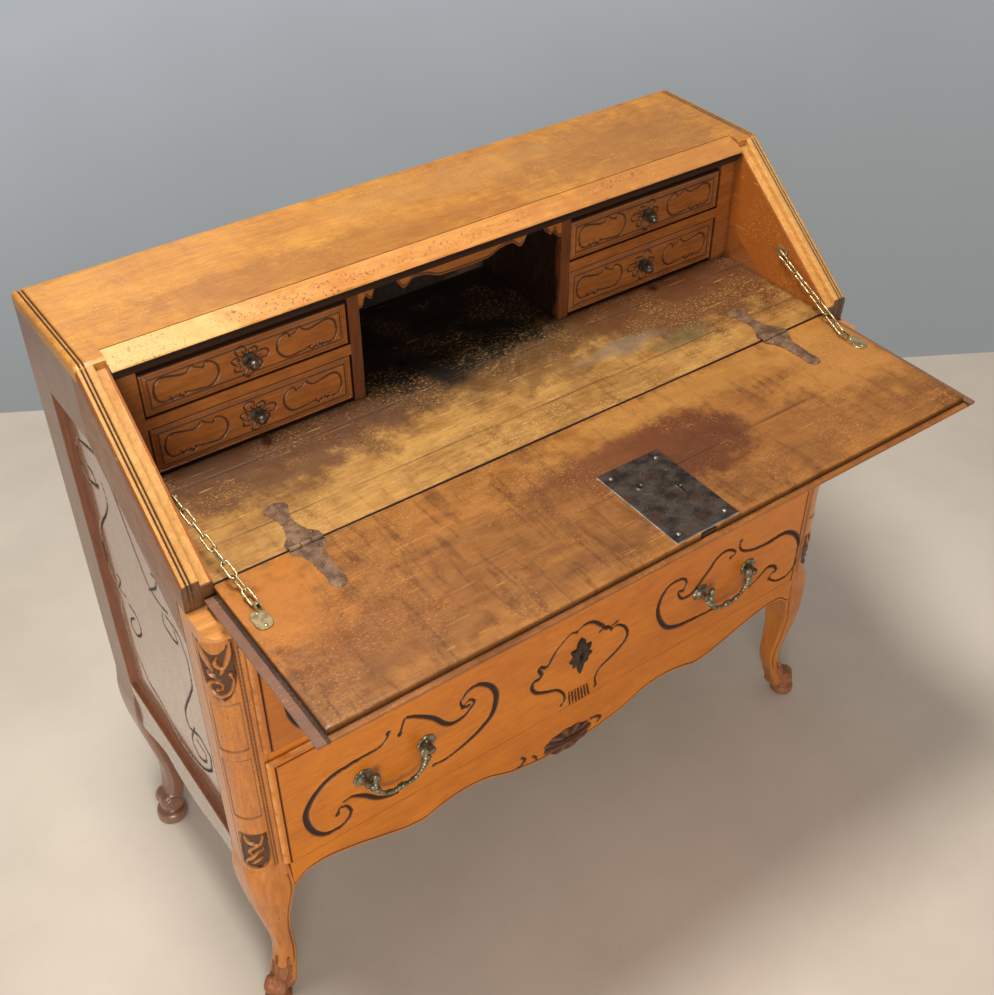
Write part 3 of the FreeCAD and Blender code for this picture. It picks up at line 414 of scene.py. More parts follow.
def mesh_piece(name, solid, material, body, *replaced, slot, cut=(), wear_and_highlight=(), rest=0.0, smooth=True):
    # A piece from the points (x, depth, z) in millimetres and the faces of a solid. Its first points take a
    # darkening, which is painted shade in grooves, holes, gaps and rebates and the dark of seams, and a wear
    # tint, which on the lock plate is a painted highlight; rest is the darkening at the other points.
    points, faces = solid
    placed = np.stack([points[:, 0], BACK_Y - points[:, 1], points[:, 2]], 1)
    mesh = bpy.data.meshes.new(name)
    mesh.from_pydata((placed * MM).tolist(), [], outward_faces(points, faces))
    mesh.validate()
    for label, values, others in (("cut", cut, rest), ("wear_and_highlight", wear_and_highlight, 0.0)):
        if len(values):
            shades = np.full(len(points), others, np.float32)
            shades[:np.size(values)] = np.ravel(values)
            mesh.attributes.new(label, "FLOAT", "POINT").data.foreach_set("value", shades)
    obj = bpy.data.objects.new(name, mesh)
    bpy.context.scene.collection.objects.link(obj)
    dress(obj, material)
    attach(obj, body)
    if replaced:
        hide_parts(*replaced)
    if smooth:
        mesh.polygons.foreach_set("use_smooth", [True] * len(mesh.polygons))
        sharpen(mesh)
    return obj


SHARP_ANGLE = 38


def sharpen(mesh):
    # Edges steeper than the angle stay crisp.
    normals = np.empty(len(mesh.polygons) * 3)
    mesh.polygons.foreach_get("normal", normals)
    normals = normals.reshape(-1, 3)
    edge_faces = {}
    for polygon in mesh.polygons:
        for key in polygon.edge_keys:
            edge_faces.setdefault(key, []).append(polygon.index)
    sharp = np.zeros(len(mesh.edges), bool)
    pairs = np.array([(*edge_faces.get(edge.key, ()), -1, -1)[:2] for edge in mesh.edges])
    both_sides = (pairs >= 0).all(1)
    dots = (normals[pairs[both_sides, 0]] * normals[pairs[both_sides, 1]]).sum(1)
    sharp[both_sides] = dots < math.cos(math.radians(SHARP_ANGLE))
    layer = mesh.attributes.new("sharp_edge", "BOOLEAN", "EDGE")
    layer.data.foreach_set("value", sharp)


def grid_faces(index):
    corners = [index[:-1, :-1], index[:-1, 1:], index[1:, 1:], index[1:, :-1]]
    return np.stack([c.ravel() for c in corners], 1).tolist()


def slab(front, axis, level):
    # A closed body: a grid of points (rows, columns, 3), and a flat back where one axis is at the level.
    points = front.reshape(-1, 3)
    index = np.arange(len(points)).reshape(front.shape[:2])
    rim = np.concatenate([index[0], index[1:, -1], index[-1, -2::-1], index[-2:0:-1, 0]])
    back = points[rim]
    back[:, axis] = level
    far = len(points) + np.arange(len(rim))
    walls = np.stack([rim, far, np.roll(far, -1), np.roll(rim, -1)], 1)
    faces = grid_faces(index) + walls.tolist() + [tuple(far[::-1].tolist())]
    return np.concatenate([points, back]), faces


def loft(rings):
    # A closed body through rings of equal point counts, ended with flat caps.
    rings = np.asarray(rings, float)
    index = np.arange(rings.shape[0] * rings.shape[1]).reshape(rings.shape[:2])
    faces = grid_faces(np.concatenate([index, index[:, :1]], 1))
    faces += [tuple(index[0, ::-1].tolist()), tuple(index[-1].tolist())]
    return rings.reshape(-1, 3), faces


def loop(rings):
    # A closed body whose last ring meets the first.
    rings = np.asarray(rings, float)
    index = np.arange(rings.shape[0] * rings.shape[1]).reshape(rings.shape[:2])
    index = np.concatenate([index, index[:1]], 0)
    return rings.reshape(-1, 3), grid_faces(np.concatenate([index, index[:, :1]], 1))


def box_mesh(x0, x1, d0, d1, z0, z1):
    points = [(x, d, z) for x in (x0, x1) for d in (d0, d1) for z in (z0, z1)]
    faces = [(0, 1, 3, 2), (4, 6, 7, 5), (0, 4, 5, 1), (2, 3, 7, 6), (0, 2, 6, 4), (1, 5, 7, 3)]
    return np.array(points, float), faces


def unit(vector):
    return vector / np.linalg.norm(vector)


def round_angles(count):
    return np.linspace(0, 2 * np.pi, count, endpoint=False)


def lathe(profile, centre, axis=(0, 0, 1), count=40, lobes=0, lobe_share=0.0):
    # profile: (radius, along) pairs from one end to the other, both radii at the ends above zero.
    axis = np.array(axis, float)
    other = np.array((1.0, 0, 0)) if abs(axis[0]) < 0.9 else np.array((0, 1.0, 0))
    first = unit(np.cross(axis, other))
    second = np.cross(axis, first)
    angles = round_angles(count)
    rings = []
    for radius, along in profile:
        wide = radius * (1 + lobe_share * np.cos(lobes * angles))
        rings.append(np.array(centre) + np.outer(np.cos(angles) * wide, first)
                     + np.outer(np.sin(angles) * wide, second) + axis * along)
    return loft(rings)


def tube(path, radii, count=12):
    # A closed tube of changing radius along a path of (x, depth, z) points.
    path = np.asarray(path, float)
    radii = np.broadcast_to(np.asarray(radii, float), len(path))
    tangent = np.gradient(path, axis=0)
    tangent /= np.linalg.norm(tangent, axis=1, keepdims=True)
    side = unit(np.cross(tangent[0], (0.31, 0.74, 0.59)))
    angles = round_angles(count)
    rings = []
    for point, direction, radius in zip(path, tangent, radii):
        side = unit(side - direction * (side @ direction))
        up = np.cross(direction, side)
        rings.append(point + radius * (np.outer(np.cos(angles), side) + np.outer(np.sin(angles), up)))
    return loft(rings)


def ring_tube(path, radius, count=10):
    # A closed ring of wire along a closed path.
    path = np.asarray(path, float)
    tangent = np.roll(path, -1, 0) - np.roll(path, 1, 0)
    tangent /= np.linalg.norm(tangent, axis=1, keepdims=True)
    normal = unit(np.cross(path[1] - path[0], path[len(path) // 3] - path[0]))
    angles = round_angles(count)
    rings = []
    for point, direction in zip(path, tangent):
        outward = np.cross(direction, normal)
        rings.append(point + radius * (np.outer(np.cos(angles), outward) + np.outer(np.sin(angles), normal)))
    return loop(rings)


def smooth_path(points, step=1.0):
    # A smooth curve through the points, sampled about every millimetre.
    points = [np.array(p, float) for p in points]
    padded = [2 * points[0] - points[1]] + points + [2 * points[-1] - points[-2]]
    out = []
    for i in range(1, len(padded) - 2):
        p0, p1, p2, p3 = padded[i - 1:i + 3]
        count = max(2, int(np.linalg.norm(p2 - p1) / step))
        for k in range(count):
            t = k / count
            out.append(0.5 * ((2 * p1) + (p2 - p0) * t + (2 * p0 - 5 * p1 + 4 * p2 - p3) * t * t
                              + (3 * p1 - p0 - 3 * p2 + p3) * t ** 3))
    out.append(points[-1])
    return np.array(out)


def interpolate(pairs, value):
    # A smooth value between the given (key, value) pairs, keys falling.
    keys, values = np.array(pairs, float)[::-1].T
    slopes = np.gradient(values, keys)
    value = np.clip(value, keys[0], keys[-1])
    i = np.clip(np.searchsorted(keys, value) - 1, 0, len(keys) - 2)
    wide = keys[i + 1] - keys[i]
    t = (value - keys[i]) / wide
    return ((2 * t ** 3 - 3 * t ** 2 + 1) * values[i] + (t ** 3 - 2 * t ** 2 + t) * wide * slopes[i]
            + (-2 * t ** 3 + 3 * t ** 2) * values[i + 1] + (t ** 3 - t ** 2) * wide * slopes[i + 1])


def smooth_step(value, low, high):
    t = np.clip((value - low) / (high - low), 0, 1)
    return t * t * (3 - 2 * t)


def bell(value, wide):
    # One at zero, falling off to nothing on both sides.
    return np.exp(-(value / wide) ** 2)


def strokes_field(us, vs, strokes):
    # For every grid point the nearest stroke's share: one on its middle line, nothing beyond its width.
    # A stroke holds its points, its thin and thick half widths, and its ends' radius.
    field = np.zeros((len(vs), len(us)))
    step_u = us[1] - us[0]
    step_v = vs[1] - vs[0]
    for points, thin, thick, bulb in strokes:
        path = smooth_path(points)
        along = np.linspace(0, 1, len(path))
        radius = thin + (thick - thin) * np.sin(np.pi * along) ** 1.5
        run = np.concatenate([[0], np.cumsum(np.linalg.norm(np.diff(path, axis=0), axis=1))])
        near_end = np.minimum(run, run[-1] - run)
        radius = np.maximum(radius, bulb * bell(near_end, bulb + 0.01))
        for (u, v), r in zip(path, radius):
            i0 = max(0, int((u - r - us[0]) / step_u))
            i1 = min(len(us), int((u + r - us[0]) / step_u) + 2)
            j0 = max(0, int((v - r - vs[0]) / step_v))
            j1 = min(len(vs), int((v + r - vs[0]) / step_v) + 2)
            if i0 < i1 and j0 < j1:
                share = 1 - np.hypot(us[i0:i1][None, :] - u, vs[j0:j1][:, None] - v) / r
                field[j0:j1, i0:i1] = np.maximum(field[j0:j1, i0:i1], share)
    return field


def sampled(table, rows, columns):
    # The table's value at places between its rows and columns.
    rows = np.clip(rows, 0, table.shape[0] - 1)
    columns = np.clip(columns, 0, table.shape[1] - 1)
    a = np.minimum(rows.astype(int), table.shape[0] - 2)
    b = np.minimum(columns.astype(int), table.shape[1] - 2)
    fa, fb = rows - a, columns - b
    return (table[a, b] * (1 - fa) * (1 - fb) + table[a + 1, b] * fa * (1 - fb)
            + table[a, b + 1] * (1 - fa) * fb + table[a + 1, b + 1] * fa * fb)


def groove_of(field, deep):
    # A rounded groove and how dark it is painted, as shade in it.
    share = np.clip(field, 0, 1)
    return deep * np.sqrt(1 - (1 - share) ** 2), np.clip(share * 3.2, 0, 1)


def moved(strokes, along_u=0, along_v=0):
    return [([(u + along_u, v + along_v) for u, v in points], *rest) for points, *rest in strokes]


def end_of(node, side):
    # Where a node of the frame ends on one of its sides, in the places of this script.
    low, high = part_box(node)
    ends = {"left": low.x / MM, "right": high.x / MM, "back": BACK_Y - high.y / MM,
            "front": BACK_Y - low.y / MM, "low": low.z / MM, "high": high.z / MM}
    return round(ends[side], 2)


# Sizes that several pieces share
HALF = end_of("top_board", "right")
WALL_IN = end_of("writing_board", "right")
BODY_HEIGHT = end_of("top_board", "high")
UNDER_TOP = end_of("top_board", "low")
TOP_DEPTH = 198
NOSE_HEIGHT = 810
NOSE_DEPTH = end_of("left_slope_rail", "front")
SLOPE_RATE = (BODY_HEIGHT - NOSE_HEIGHT) / (NOSE_DEPTH - TOP_DEPTH)
SLOPE_LENGTH = math.hypot(BODY_HEIGHT - NOSE_HEIGHT, NOSE_DEPTH - TOP_DEPTH)
RUN = (NOSE_DEPTH - TOP_DEPTH) / SLOPE_LENGTH
RISE = (BODY_HEIGHT - NOSE_HEIGHT) / SLOPE_LENGTH
SLOPE_START = end_of("left_slope_rail", "back")
STILE = 96
BOARD = end_of("writing_board", "high")
GALLERY = end_of("top_board", "front")
LEDGE = end_of("writing_board", "low")
POST_TOP = end_of("front_left_post", "high")
FACE = end_of("lower_drawer_front", "front")
KNEE = end_of("front_apron", "high")
SAMPLE = 1.6


def slope_z(depth, below=0):
    return BODY_HEIGHT - (depth - TOP_DEPTH) * SLOPE_RATE - below / RUN


def on_slope(along, below):
    return (TOP_DEPTH + along * RUN - below * RISE, BODY_HEIGHT - along * RISE - below * RUN)


# Long drawer fronts
LIP_BACK = 452.3
LIP_SIDE = end_of("lower_drawer_front", "right")
LIP_WIDE = 8
LIP_DEEP = 5
LINE_AT = LIP_WIDE + 1.6
LINE_WIDE = 1.1
LINE_DEEP = 2.4
CARVED_DEEP = 2.6
WORN_WIDE = 4.5
PLUG_HALF = 469
PLUG_BACK = end_of("lower_drawer_front", "back")
drawer_strokes = [
    ([(-306, 464), (-309, 455), (-320, 446), (-339, 445), (-363, 443), (-384, 441), (-403, 434), (-420, 420),
      (-431, 405), (-437, 388), (-435, 365), (-426, 343), (-412, 330), (-394, 328), (-380, 333), (-372, 347),
      (-377, 363), (-387, 367), (-392, 357)], 2.0, 5.2, 4.2),
    ([(-380, 376), (-368, 377), (-349, 364), (-331, 345), (-313, 335), (-299, 332)], 1.8, 4.6, 2.4),
    ([(-289, 449), (-280, 473), (-269, 471), (-257, 463), (-236, 445), (-218, 421), (-203, 413), (-186, 416),
      (-174, 426), (-169, 434), (-177, 443), (-188, 435)], 1.8, 4.4, 4.4),
    ([(-179, 432), (-188, 435), (-192, 447), (-188, 452), (-178, 463), (-162, 464), (-143, 449), (-133, 427),
      (-134, 404), (-141, 385), (-158, 370), (-180, 358), (-216, 347), (-239, 348)], 1.8, 5.4, 3.6),
    ([(213, 429), (219, 442), (212, 454), (199, 458), (182, 455), (169, 438), (165, 414), (172, 389),
      (187, 366), (209, 355), (239, 351), (266, 349), (282, 348), (305, 341)], 1.8, 4.6, 3.6),
    ([(213, 429), (203, 432), (212, 413), (231, 411), (245, 422), (256, 434), (268, 447), (276, 458),
      (293, 466), (310, 460), (318, 450), (309, 445)], 1.8, 3.8, 3.8),
    ([(327, 470), (325, 459), (336, 445), (361, 435), (394, 433), (422, 435), (441, 428), (459, 410),
      (470, 382), (471, 353), (460, 334), (444, 327), (425, 331), (408, 345)], 1.8, 4.6, 3.6),
    ([(408, 345), (413, 355), (423, 356), (415, 369), (400, 374), (385, 364), (365, 353)], 1.8, 3.4, 3.4),
    ([(9, 463), (-2, 466), (-12, 460), (-29, 445), (-43, 424), (-55, 429), (-58, 425), (-53, 413),
      (-57, 407), (-66, 406), (-70, 395), (-62, 380), (-44, 370), (-23, 360), (-10, 342), (-9, 326),
      (-14, 322)], 1.8, 3.6, 3.4),
    ([(50, 324), (49, 344), (58, 359), (82, 372), (100, 385), (107, 400), (100, 419), (85, 432), (74, 430)],
     1.8, 3.4, 3.6),
    ([(9, 463), (22, 470), (38, 466), (54, 450), (66, 436), (84, 440)], 1.6, 3.6, 3.0),
    ([(74, 430), (64, 441), (52, 438)], 1.6, 3.0, 2.6),
]
for k in range(7):
    drawer_strokes.append(([(-1 + 5.6 * k, 341 - 0.4 * k), (2 + 6 * k, 313 - 0.3 * k)], 1.3, 1.7, 0.5))


def thumb_edge(edge, wide, deep):
    # How far a rounded border lies under the face, by the distance from the edge.
    return np.where(edge < wide, deep * (1 - np.clip(edge / wide, 0, 1)) ** 2.2, 0)


def long_drawer_front(row, plug_high, up, material):
    low = end_of(row + "_drawer_front", "low")
    high = end_of(row + "_drawer_front", "high")
    us = np.arange(-LIP_SIDE, LIP_SIDE + SAMPLE / 2, SAMPLE)
    us[-1] = LIP_SIDE
    vs = np.linspace(low, high, int((high - low) / SAMPLE) + 1)
    u, v = np.meshgrid(us, vs)
    drop, cut = groove_of(strokes_field(us, vs, moved(drawer_strokes, along_v=up)), CARVED_DEEP)
    edge = np.minimum(LIP_SIDE - np.abs(u), high - v)
    line = bell(edge - LINE_AT, LINE_WIDE)
    drop = drop + thumb_edge(edge, LIP_WIDE, LIP_DEEP) + LINE_DEEP * line
    front = np.stack([u, FACE - drop, v], -1)
    plug = box_mesh(-PLUG_HALF, PLUG_HALF, PLUG_BACK, LIP_BACK + 0.5, low + 0.1, plug_high)
    # The carving and the line inside the lip are darkened: painted shade in them.
    mesh_piece(row + "_front", joined(slab(front, 1, LIP_BACK), plug), material, row + "_drawer",
               row + "_drawer_front", slot="front_walnut", cut=np.maximum(cut, 0.9 * line),
               wear_and_highlight=np.clip(1 - edge / WORN_WIDE, 0, 1) * 0.8)


long_drawer_front("lower", plug_high=513.3, up=0, material=front_wood)
long_drawer_front("upper", plug_high=744, up=222.1, material=upper_front_wood)


# Side panels, with strokes as (depth, z)
panel_strokes = [
    ([(72, 792), (146, 808), (176, 773), (194, 737), (212, 699), (233, 665), (263, 657), (285, 661)],
     1.3, 2.4, 1.6),
    ([(254, 702), (267, 702), (259, 682), (230, 656)], 1.1, 1.8, 1.2),
    ([(62, 779), (56, 750), (75, 730), (107, 738), (114, 744), (107, 742), (103, 755), (90, 759), (80, 765)],
     1.3, 2.2, 1.8),
    ([(135, 761), (136, 733), (117, 701), (76, 652), (62, 618), (60, 573), (80, 545), (106, 544)],
     1.2, 2.2, 1.6),
    ([(86, 572), (99, 571), (82, 543)], 1.2, 2.0, 1.2),
    ([(82, 521), (69, 480), (74, 434), (97, 406), (115, 380), (156, 371), (193, 347), (239, 346), (286, 363),
      (317, 392), (324, 411), (327, 431), (320, 434), (300, 443), (264, 429), (261, 455), (273, 482),
      (299, 525), (318, 560), (322, 593), (323, 610), (318, 625), (309, 644), (277, 648)], 1.4, 2.4, 1.8),
    ([(115, 536), (137, 530), (140, 505), (118, 478), (102, 480), (102, 497), (122, 516)], 1.3, 2.2, 2.0),
    ([(286, 448), (266, 411), (267, 390), (284, 383), (304, 397), (308, 418), (293, 420), (285, 422)],
     1.3, 2.2, 2.0),
    ([(264, 644), (261, 621), (286, 615), (299, 621), (296, 637)], 1.3, 2.0, 2.0),
]
PANEL_FACE = 510
PANEL_LOW = end_of("left_side_panel", "low")
PANEL_BACK = end_of("left_side_panel", "back")
PANEL_FRONT = end_of("left_side_panel", "front")
PANEL_TOP = slope_z(SLOPE_START, STILE)
PANEL_ROWS = 300
PANEL_GROOVE = 1.6
STROKES_FORWARD = 22
STROKES_UP = 20
COVE_PROFILE = [(0, HALF), (0, PANEL_FACE - 11), (14, PANEL_FACE - 11), (14, PANEL_FACE + 0.2),
                (13, PANEL_FACE + 0.6), (11.5, PANEL_FACE + 1.4)]
for t in (0, 0.25, 0.5, 0.75, 1):
    COVE_PROFILE.append((10 - 7 * t, PANEL_FACE + 2.4 + 5.6 * (1 - math.cos(t * math.pi / 2))))
COVE_PROFILE.append((2, HALF - 0.8))


def side_panel(side, word):
    ds = np.arange(PANEL_BACK, PANEL_FRONT + 0.1, SAMPLE)
    ds[-1] = PANEL_FRONT
    share = np.linspace(0, 1, PANEL_ROWS)[:, None]
    z = PANEL_LOW + (np.minimum(PANEL_TOP, slope_z(ds, STILE)) - PANEL_LOW) * share
    d = np.broadcast_to(ds, z.shape)
    vs = np.arange(PANEL_LOW - 8, 850, SAMPLE)
    field = strokes_field(ds, vs, moved(panel_strokes, STROKES_FORWARD, STROKES_UP))
    columns = np.broadcast_to(np.arange(len(ds)), z.shape)
    drop, cut = groove_of(sampled(field, (z - vs[0]) / SAMPLE, columns) * 1.5, PANEL_GROOVE)
    front = np.stack([side * (PANEL_FACE - drop), d, z], -1)
    mesh_piece(word + "_panel", slab(front, 0, side * WALL_IN), panel_wood, "case", word + "_side_panel",
               slot="panel_walnut", cut=cut)


def mitred(path, profile):
    # Rings of a profile carried round a closed path. path holds (a, b) and profile (inward, out) pairs,
    # and each point of a ring is (a, b, out).
    path = np.asarray(path, float)
    ahead = np.roll(path, -1, 0) - path
    ahead /= np.linalg.norm(ahead, axis=1, keepdims=True)
    rings = []
    for point, a, b in zip(path, np.roll(ahead, 1, 0), ahead):
        normal = unit(np.array([-(a + b)[1], (a + b)[0]]))
        scale = 1 / max(0.3, normal @ np.array([-a[1], a[0]]))
        rings.append([(*(point + normal * scale * inward), out) for inward, out in profile])
    return np.array(rings)


def panel_moulding(side, word):
    path = [(PANEL_BACK, PANEL_LOW), (PANEL_FRONT, PANEL_LOW), (PANEL_FRONT, slope_z(PANEL_FRONT, STILE)),
            (SLOPE_START, PANEL_TOP), (PANEL_BACK, PANEL_TOP)]
    rings = mitred(path, COVE_PROFILE)
    rings = np.stack([side * rings[..., 2], rings[..., 0], rings[..., 1]], -1)
    mesh_piece(word + "_panel_moulding", loop(rings), cove_wood, "case", slot="panel_walnut")


for side, word in SIDES:
    side_panel(side, word)
    panel_moulding(side, word)


# Top board and slope rails, lofted across x, whose upper line follows a moulded edge
BEAD = 5.5
GROOVES = (7.6, 12.2)
EDGE_STATIONS = sorted({0, 0.4, 1, 1.8, 2.8, 4, 5.5, 6.4, 9.6, 16, 20} | {
    round(groove + way * step, 2) for groove in GROOVES for way in (-1, 1) for step in (0, 0.4, 0.9, 1.4)})
EDGE_GROOVE = 1.6
SLOPE_STEPS = 40
TOP_STEPS = 30
REBATE = 7.3
REBATE_IN = 22
RAIL_FOOT = 389
FASCIA_TOP = 182
FASCIA_JOINT = 971.7
FASCIA_DROP = 21.4
FASCIA_TONGUE = 24
FASCIA_THICK = 22
CATCH = (18.7, 39.3)
CATCH_DEEP = 13.4


def edge_drop(inward):
    # How far the surface lies under the straight line, by the distance from the outer side.
    bead = BEAD * (1 - math.sqrt(max(0, 1 - ((BEAD - inward) / BEAD) ** 2))) if inward < BEAD else 0
    return bead + EDGE_GROOVE * sum(bell(inward - groove, 0.8) for groove in GROOVES)


def edge_dark(inward):
    # How dark the edge grooves are painted, as shade in them.
    return min(1, 0.85 * sum(bell(inward - groove, 1.1) for groove in GROOVES))


def slope_rail(side, word):
    corner_drops = {REBATE_IN - 0.6: 0.1, REBATE_IN: 0.5, REBATE_IN + 0.05: REBATE, 30: REBATE,
                    HALF - WALL_IN: REBATE}
    rings = []
    cuts = []
    for inward in sorted({*EDGE_STATIONS, *corner_drops}):
        drop = corner_drops.get(inward, edge_drop(inward))
        dark = edge_dark(inward) if inward <= REBATE_IN else 0
        ring = [(SLOPE_START, slope_z(SLOPE_START, STILE)), (SLOPE_START, UNDER_TOP), (GALLERY, UNDER_TOP)]
        for k in range(SLOPE_STEPS + 1):
            d = GALLERY + (NOSE_DEPTH - GALLERY) * k / SLOPE_STEPS
            ring.append((d, slope_z(d) - drop / RUN))
        ring += [(NOSE_DEPTH - min(drop, 4) * 0.35, LEDGE), (RAIL_FOOT, LEDGE), (RAIL_FOOT, POST_TOP),
                 (PANEL_FRONT, POST_TOP), (PANEL_FRONT, slope_z(PANEL_FRONT, STILE))]
        rings.append([(side * (HALF - inward), d, z) for d, z in ring])
        cuts.append([0] * 3 + [dark] * (SLOPE_STEPS + 1) + [0] * 5)
    mesh_piece(word + "_slope", loft(rings), slope_wood, "case", word + "_slope_rail", slot="edge_walnut",
               cut=cuts)


def top_board():
    # Between the slope rails the front edge lies further back, as worn and chamfered.
    ends = [(-HALF + w, edge_drop(w), edge_dark(w), TOP_DEPTH)
            for w in EDGE_STATIONS + [30, HALF - WALL_IN - 0.1]]
    places = ends + [(x, 0, 0, FASCIA_TOP) for x in np.linspace(-WALL_IN, WALL_IN, 60)]
    places += [(-x, drop, dark, edge) for x, drop, dark, edge in reversed(ends)]
    rings = []
    cuts = []
    for x, drop, dark, edge in places:
        side_drop = min(drop, 5)
        ring = [(0, UNDER_TOP)]
        for d in np.linspace(0, edge - 3, TOP_STEPS):
            sag = 0.8 * math.sin(x * 0.011 + 1) * math.sin(d * 0.02 + x * 0.004)
            ring.append((d, BODY_HEIGHT - side_drop - 0.8 + 0.5 * sag - (1.5 if d < 1 else 0)))
        if edge == TOP_DEPTH:
            ring += [(edge - 1, BODY_HEIGHT - 0.7 - side_drop), (edge + 1.4, BODY_HEIGHT - 2.0 - side_drop),
                     (GALLERY, slope_z(GALLERY) - side_drop)]
        else:
            ring += [(edge - 0.5, BODY_HEIGHT - 0.9), (edge, BODY_HEIGHT - 1.8), (GALLERY, FASCIA_JOINT - 3)]
        ring.append((GALLERY, UNDER_TOP))
        rings.append([(x, d, z) for d, z in ring])
        cuts.append([0, 0] + [dark] * TOP_STEPS + [dark if edge == TOP_DEPTH else 0.8, 0, 0])
    mesh_piece("top", loft(rings), top_wood, "case", "top_board", slot="top_walnut", cut=cuts)


def fascia():
    end_d, end_z = on_slope(FASCIA_DROP, 0)
    start = BODY_HEIGHT - 1.2
    under = on_slope((GALLERY - TOP_DEPTH + FASCIA_THICK * RISE) / RUN, FASCIA_THICK)
    face = [(GALLERY, under[1]), (GALLERY, FASCIA_JOINT - 4), (FASCIA_TOP + 0.6, BODY_HEIGHT - 4),
            (FASCIA_TOP + 0.4, BODY_HEIGHT - 1.6), (FASCIA_TOP + 1.4, BODY_HEIGHT - 0.9)]
    for t in (0.1, 0.3, 0.5, 0.7, 0.85, 0.95):
        face.append((FASCIA_TOP + 2 + (end_d - FASCIA_TOP - 2) * t, start + (end_z - start) * t))
    rings = []
    for x in sorted({*np.round(np.linspace(-WALL_IN, WALL_IN, 161), 2), *CATCH, CATCH[0] - 0.05,
                     CATCH[1] + 0.05}):
        worn = 0.5 + 0.5 * math.sin(x * 0.07 + 2 * math.sin(x * 0.023)) + 0.4 * math.sin(x * 0.31)
        worn = max(0.0, worn) * 0.7
        deep = CATCH_DEEP if CATCH[0] <= x <= CATCH[1] else REBATE
        ring = face + [(end_d - 0.8 - worn, end_z + 0.1),
                       (end_d - 0.2 - worn * 0.7, end_z - 0.8 - worn * 0.4),
                       on_slope(FASCIA_DROP, 2.5 + worn), on_slope(FASCIA_DROP, deep),
                       on_slope(FASCIA_TONGUE, deep), on_slope(FASCIA_TONGUE, FASCIA_THICK)]
        rings.append([(x, d, z) for d, z in ring])
    # Dark at the seam with the top; over the worn lower edge, the rebate and the tongue, painted shade.
    cuts = [[0, 0, 0.6, 0.6, 0, 0, 0, 0, 0, 0, 0, 0, 0, 0.7, 1, 1, 1]] * len(rings)
    mesh_piece("fascia", loft(rings), fascia_wood, "case", "top_front_rail", slot="edge_walnut", cut=cuts)


for side, word in SIDES:
    slope_rail(side, word)
top_board()
fascia()


# Back of five upright boards
BACK_GAP = end_of("back_panel", "back")
BACK_FACE = end_of("back_panel", "front")
BACK_FOOT = end_of("back_panel", "low")
BACK_JOINTS = (-300, -96, 88, 286)
JOINT_WIDE = 2.4


def back_boards():
    places = {-WALL_IN, WALL_IN, *np.linspace(-480, 480, 61)}
    for joint in BACK_JOINTS:
        places |= {joint + way * step for way in (-1, 1) for step in (0, 0.6, 1.4, JOINT_WIDE)}
    rings = []
    cuts = []
    for x in sorted(places):
        away = min(abs(x - joint) for joint in BACK_JOINTS)
        back = BACK_GAP + max(0, JOINT_WIDE - away) * 1.1
        rings.append([(x, back, BACK_FOOT), (x, back, UNDER_TOP), (x, BACK_FACE, UNDER_TOP),
                      (x, BACK_FACE, BACK_FOOT)])
        cuts.append([away < 1] * 2 + [0] * 2)
    mesh_piece("back_boards", loft(rings), back_wood, "case", "back_panel", slot="plain_pine", cut=cuts)


back_boards()


# Posts and legs
POST_WIDTH = 50
POST_DEEP = 60
POST_FRONT = 452
REAR_DEEP = 66
REAR_STEP = 299
LEG_FOOT = 36
CORNER = 27
POST_LINES = (12.5, 16.5)
BACK_LINE = 68
LEG_LINE = 5.5
LINE_THIN = 0.9
POST_FIELDS = ((424, 542), (556, 644))
FIELD_SIDES = (20, 62.5)
FIELD_DEEP = 1.3
FADE = 2.5
leg_outer = ((1, 0), (0.96, -0.06), (0.9, -0.1), (0.82, -0.1), (0.73, -0.05), (0.6, 0.08), (0.45, 0.25),
             (0.35, 0.34), (0.26, 0.31), (0.18, 0.16), (0.12, 0.02))
leg_inner = ((1, 1), (0.92, 1.03), (0.83, 1.06), (0.76, 0.98), (0.67, 0.88), (0.53, 0.83), (0.39, 0.87),
             (0.28, 0.88), (0.2, 0.78), (0.12, 0.66))
leg_fore = ((1, 0), (0.96, -0.06), (0.9, -0.11), (0.82, -0.13), (0.73, -0.11), (0.6, -0.04), (0.45, 0.06),
            (0.35, 0.11), (0.26, 0.09), (0.18, -0.01), (0.12, -0.1))
leg_aft = ((1, 1), (0.92, 1.02), (0.83, 1.02), (0.76, 0.95), (0.67, 0.82), (0.53, 0.72), (0.39, 0.68),
           (0.28, 0.65), (0.2, 0.58), (0.12, 0.5))
rear_back = ((1, 0), (0.9, 0), (0.75, 0.01), (0.6, 0.08), (0.45, 0.26), (0.37, 0.34), (0.29, 0.4),
             (0.2, 0.5), (0.13, 0.54))
rear_front = ((1, 1), (0.92, 1.03), (0.83, 1.04), (0.76, 1), (0.67, 0.92), (0.53, 0.86), (0.39, 0.92),
              (0.28, 1.02), (0.2, 1.08), (0.13, 1.12))
FRONT_COUNTS = ((16, 28), (22, 5), (8, 5), (12, 5))
REAR_COUNTS = ((14, 8), (26, 8), (12, 8), (24, 8))


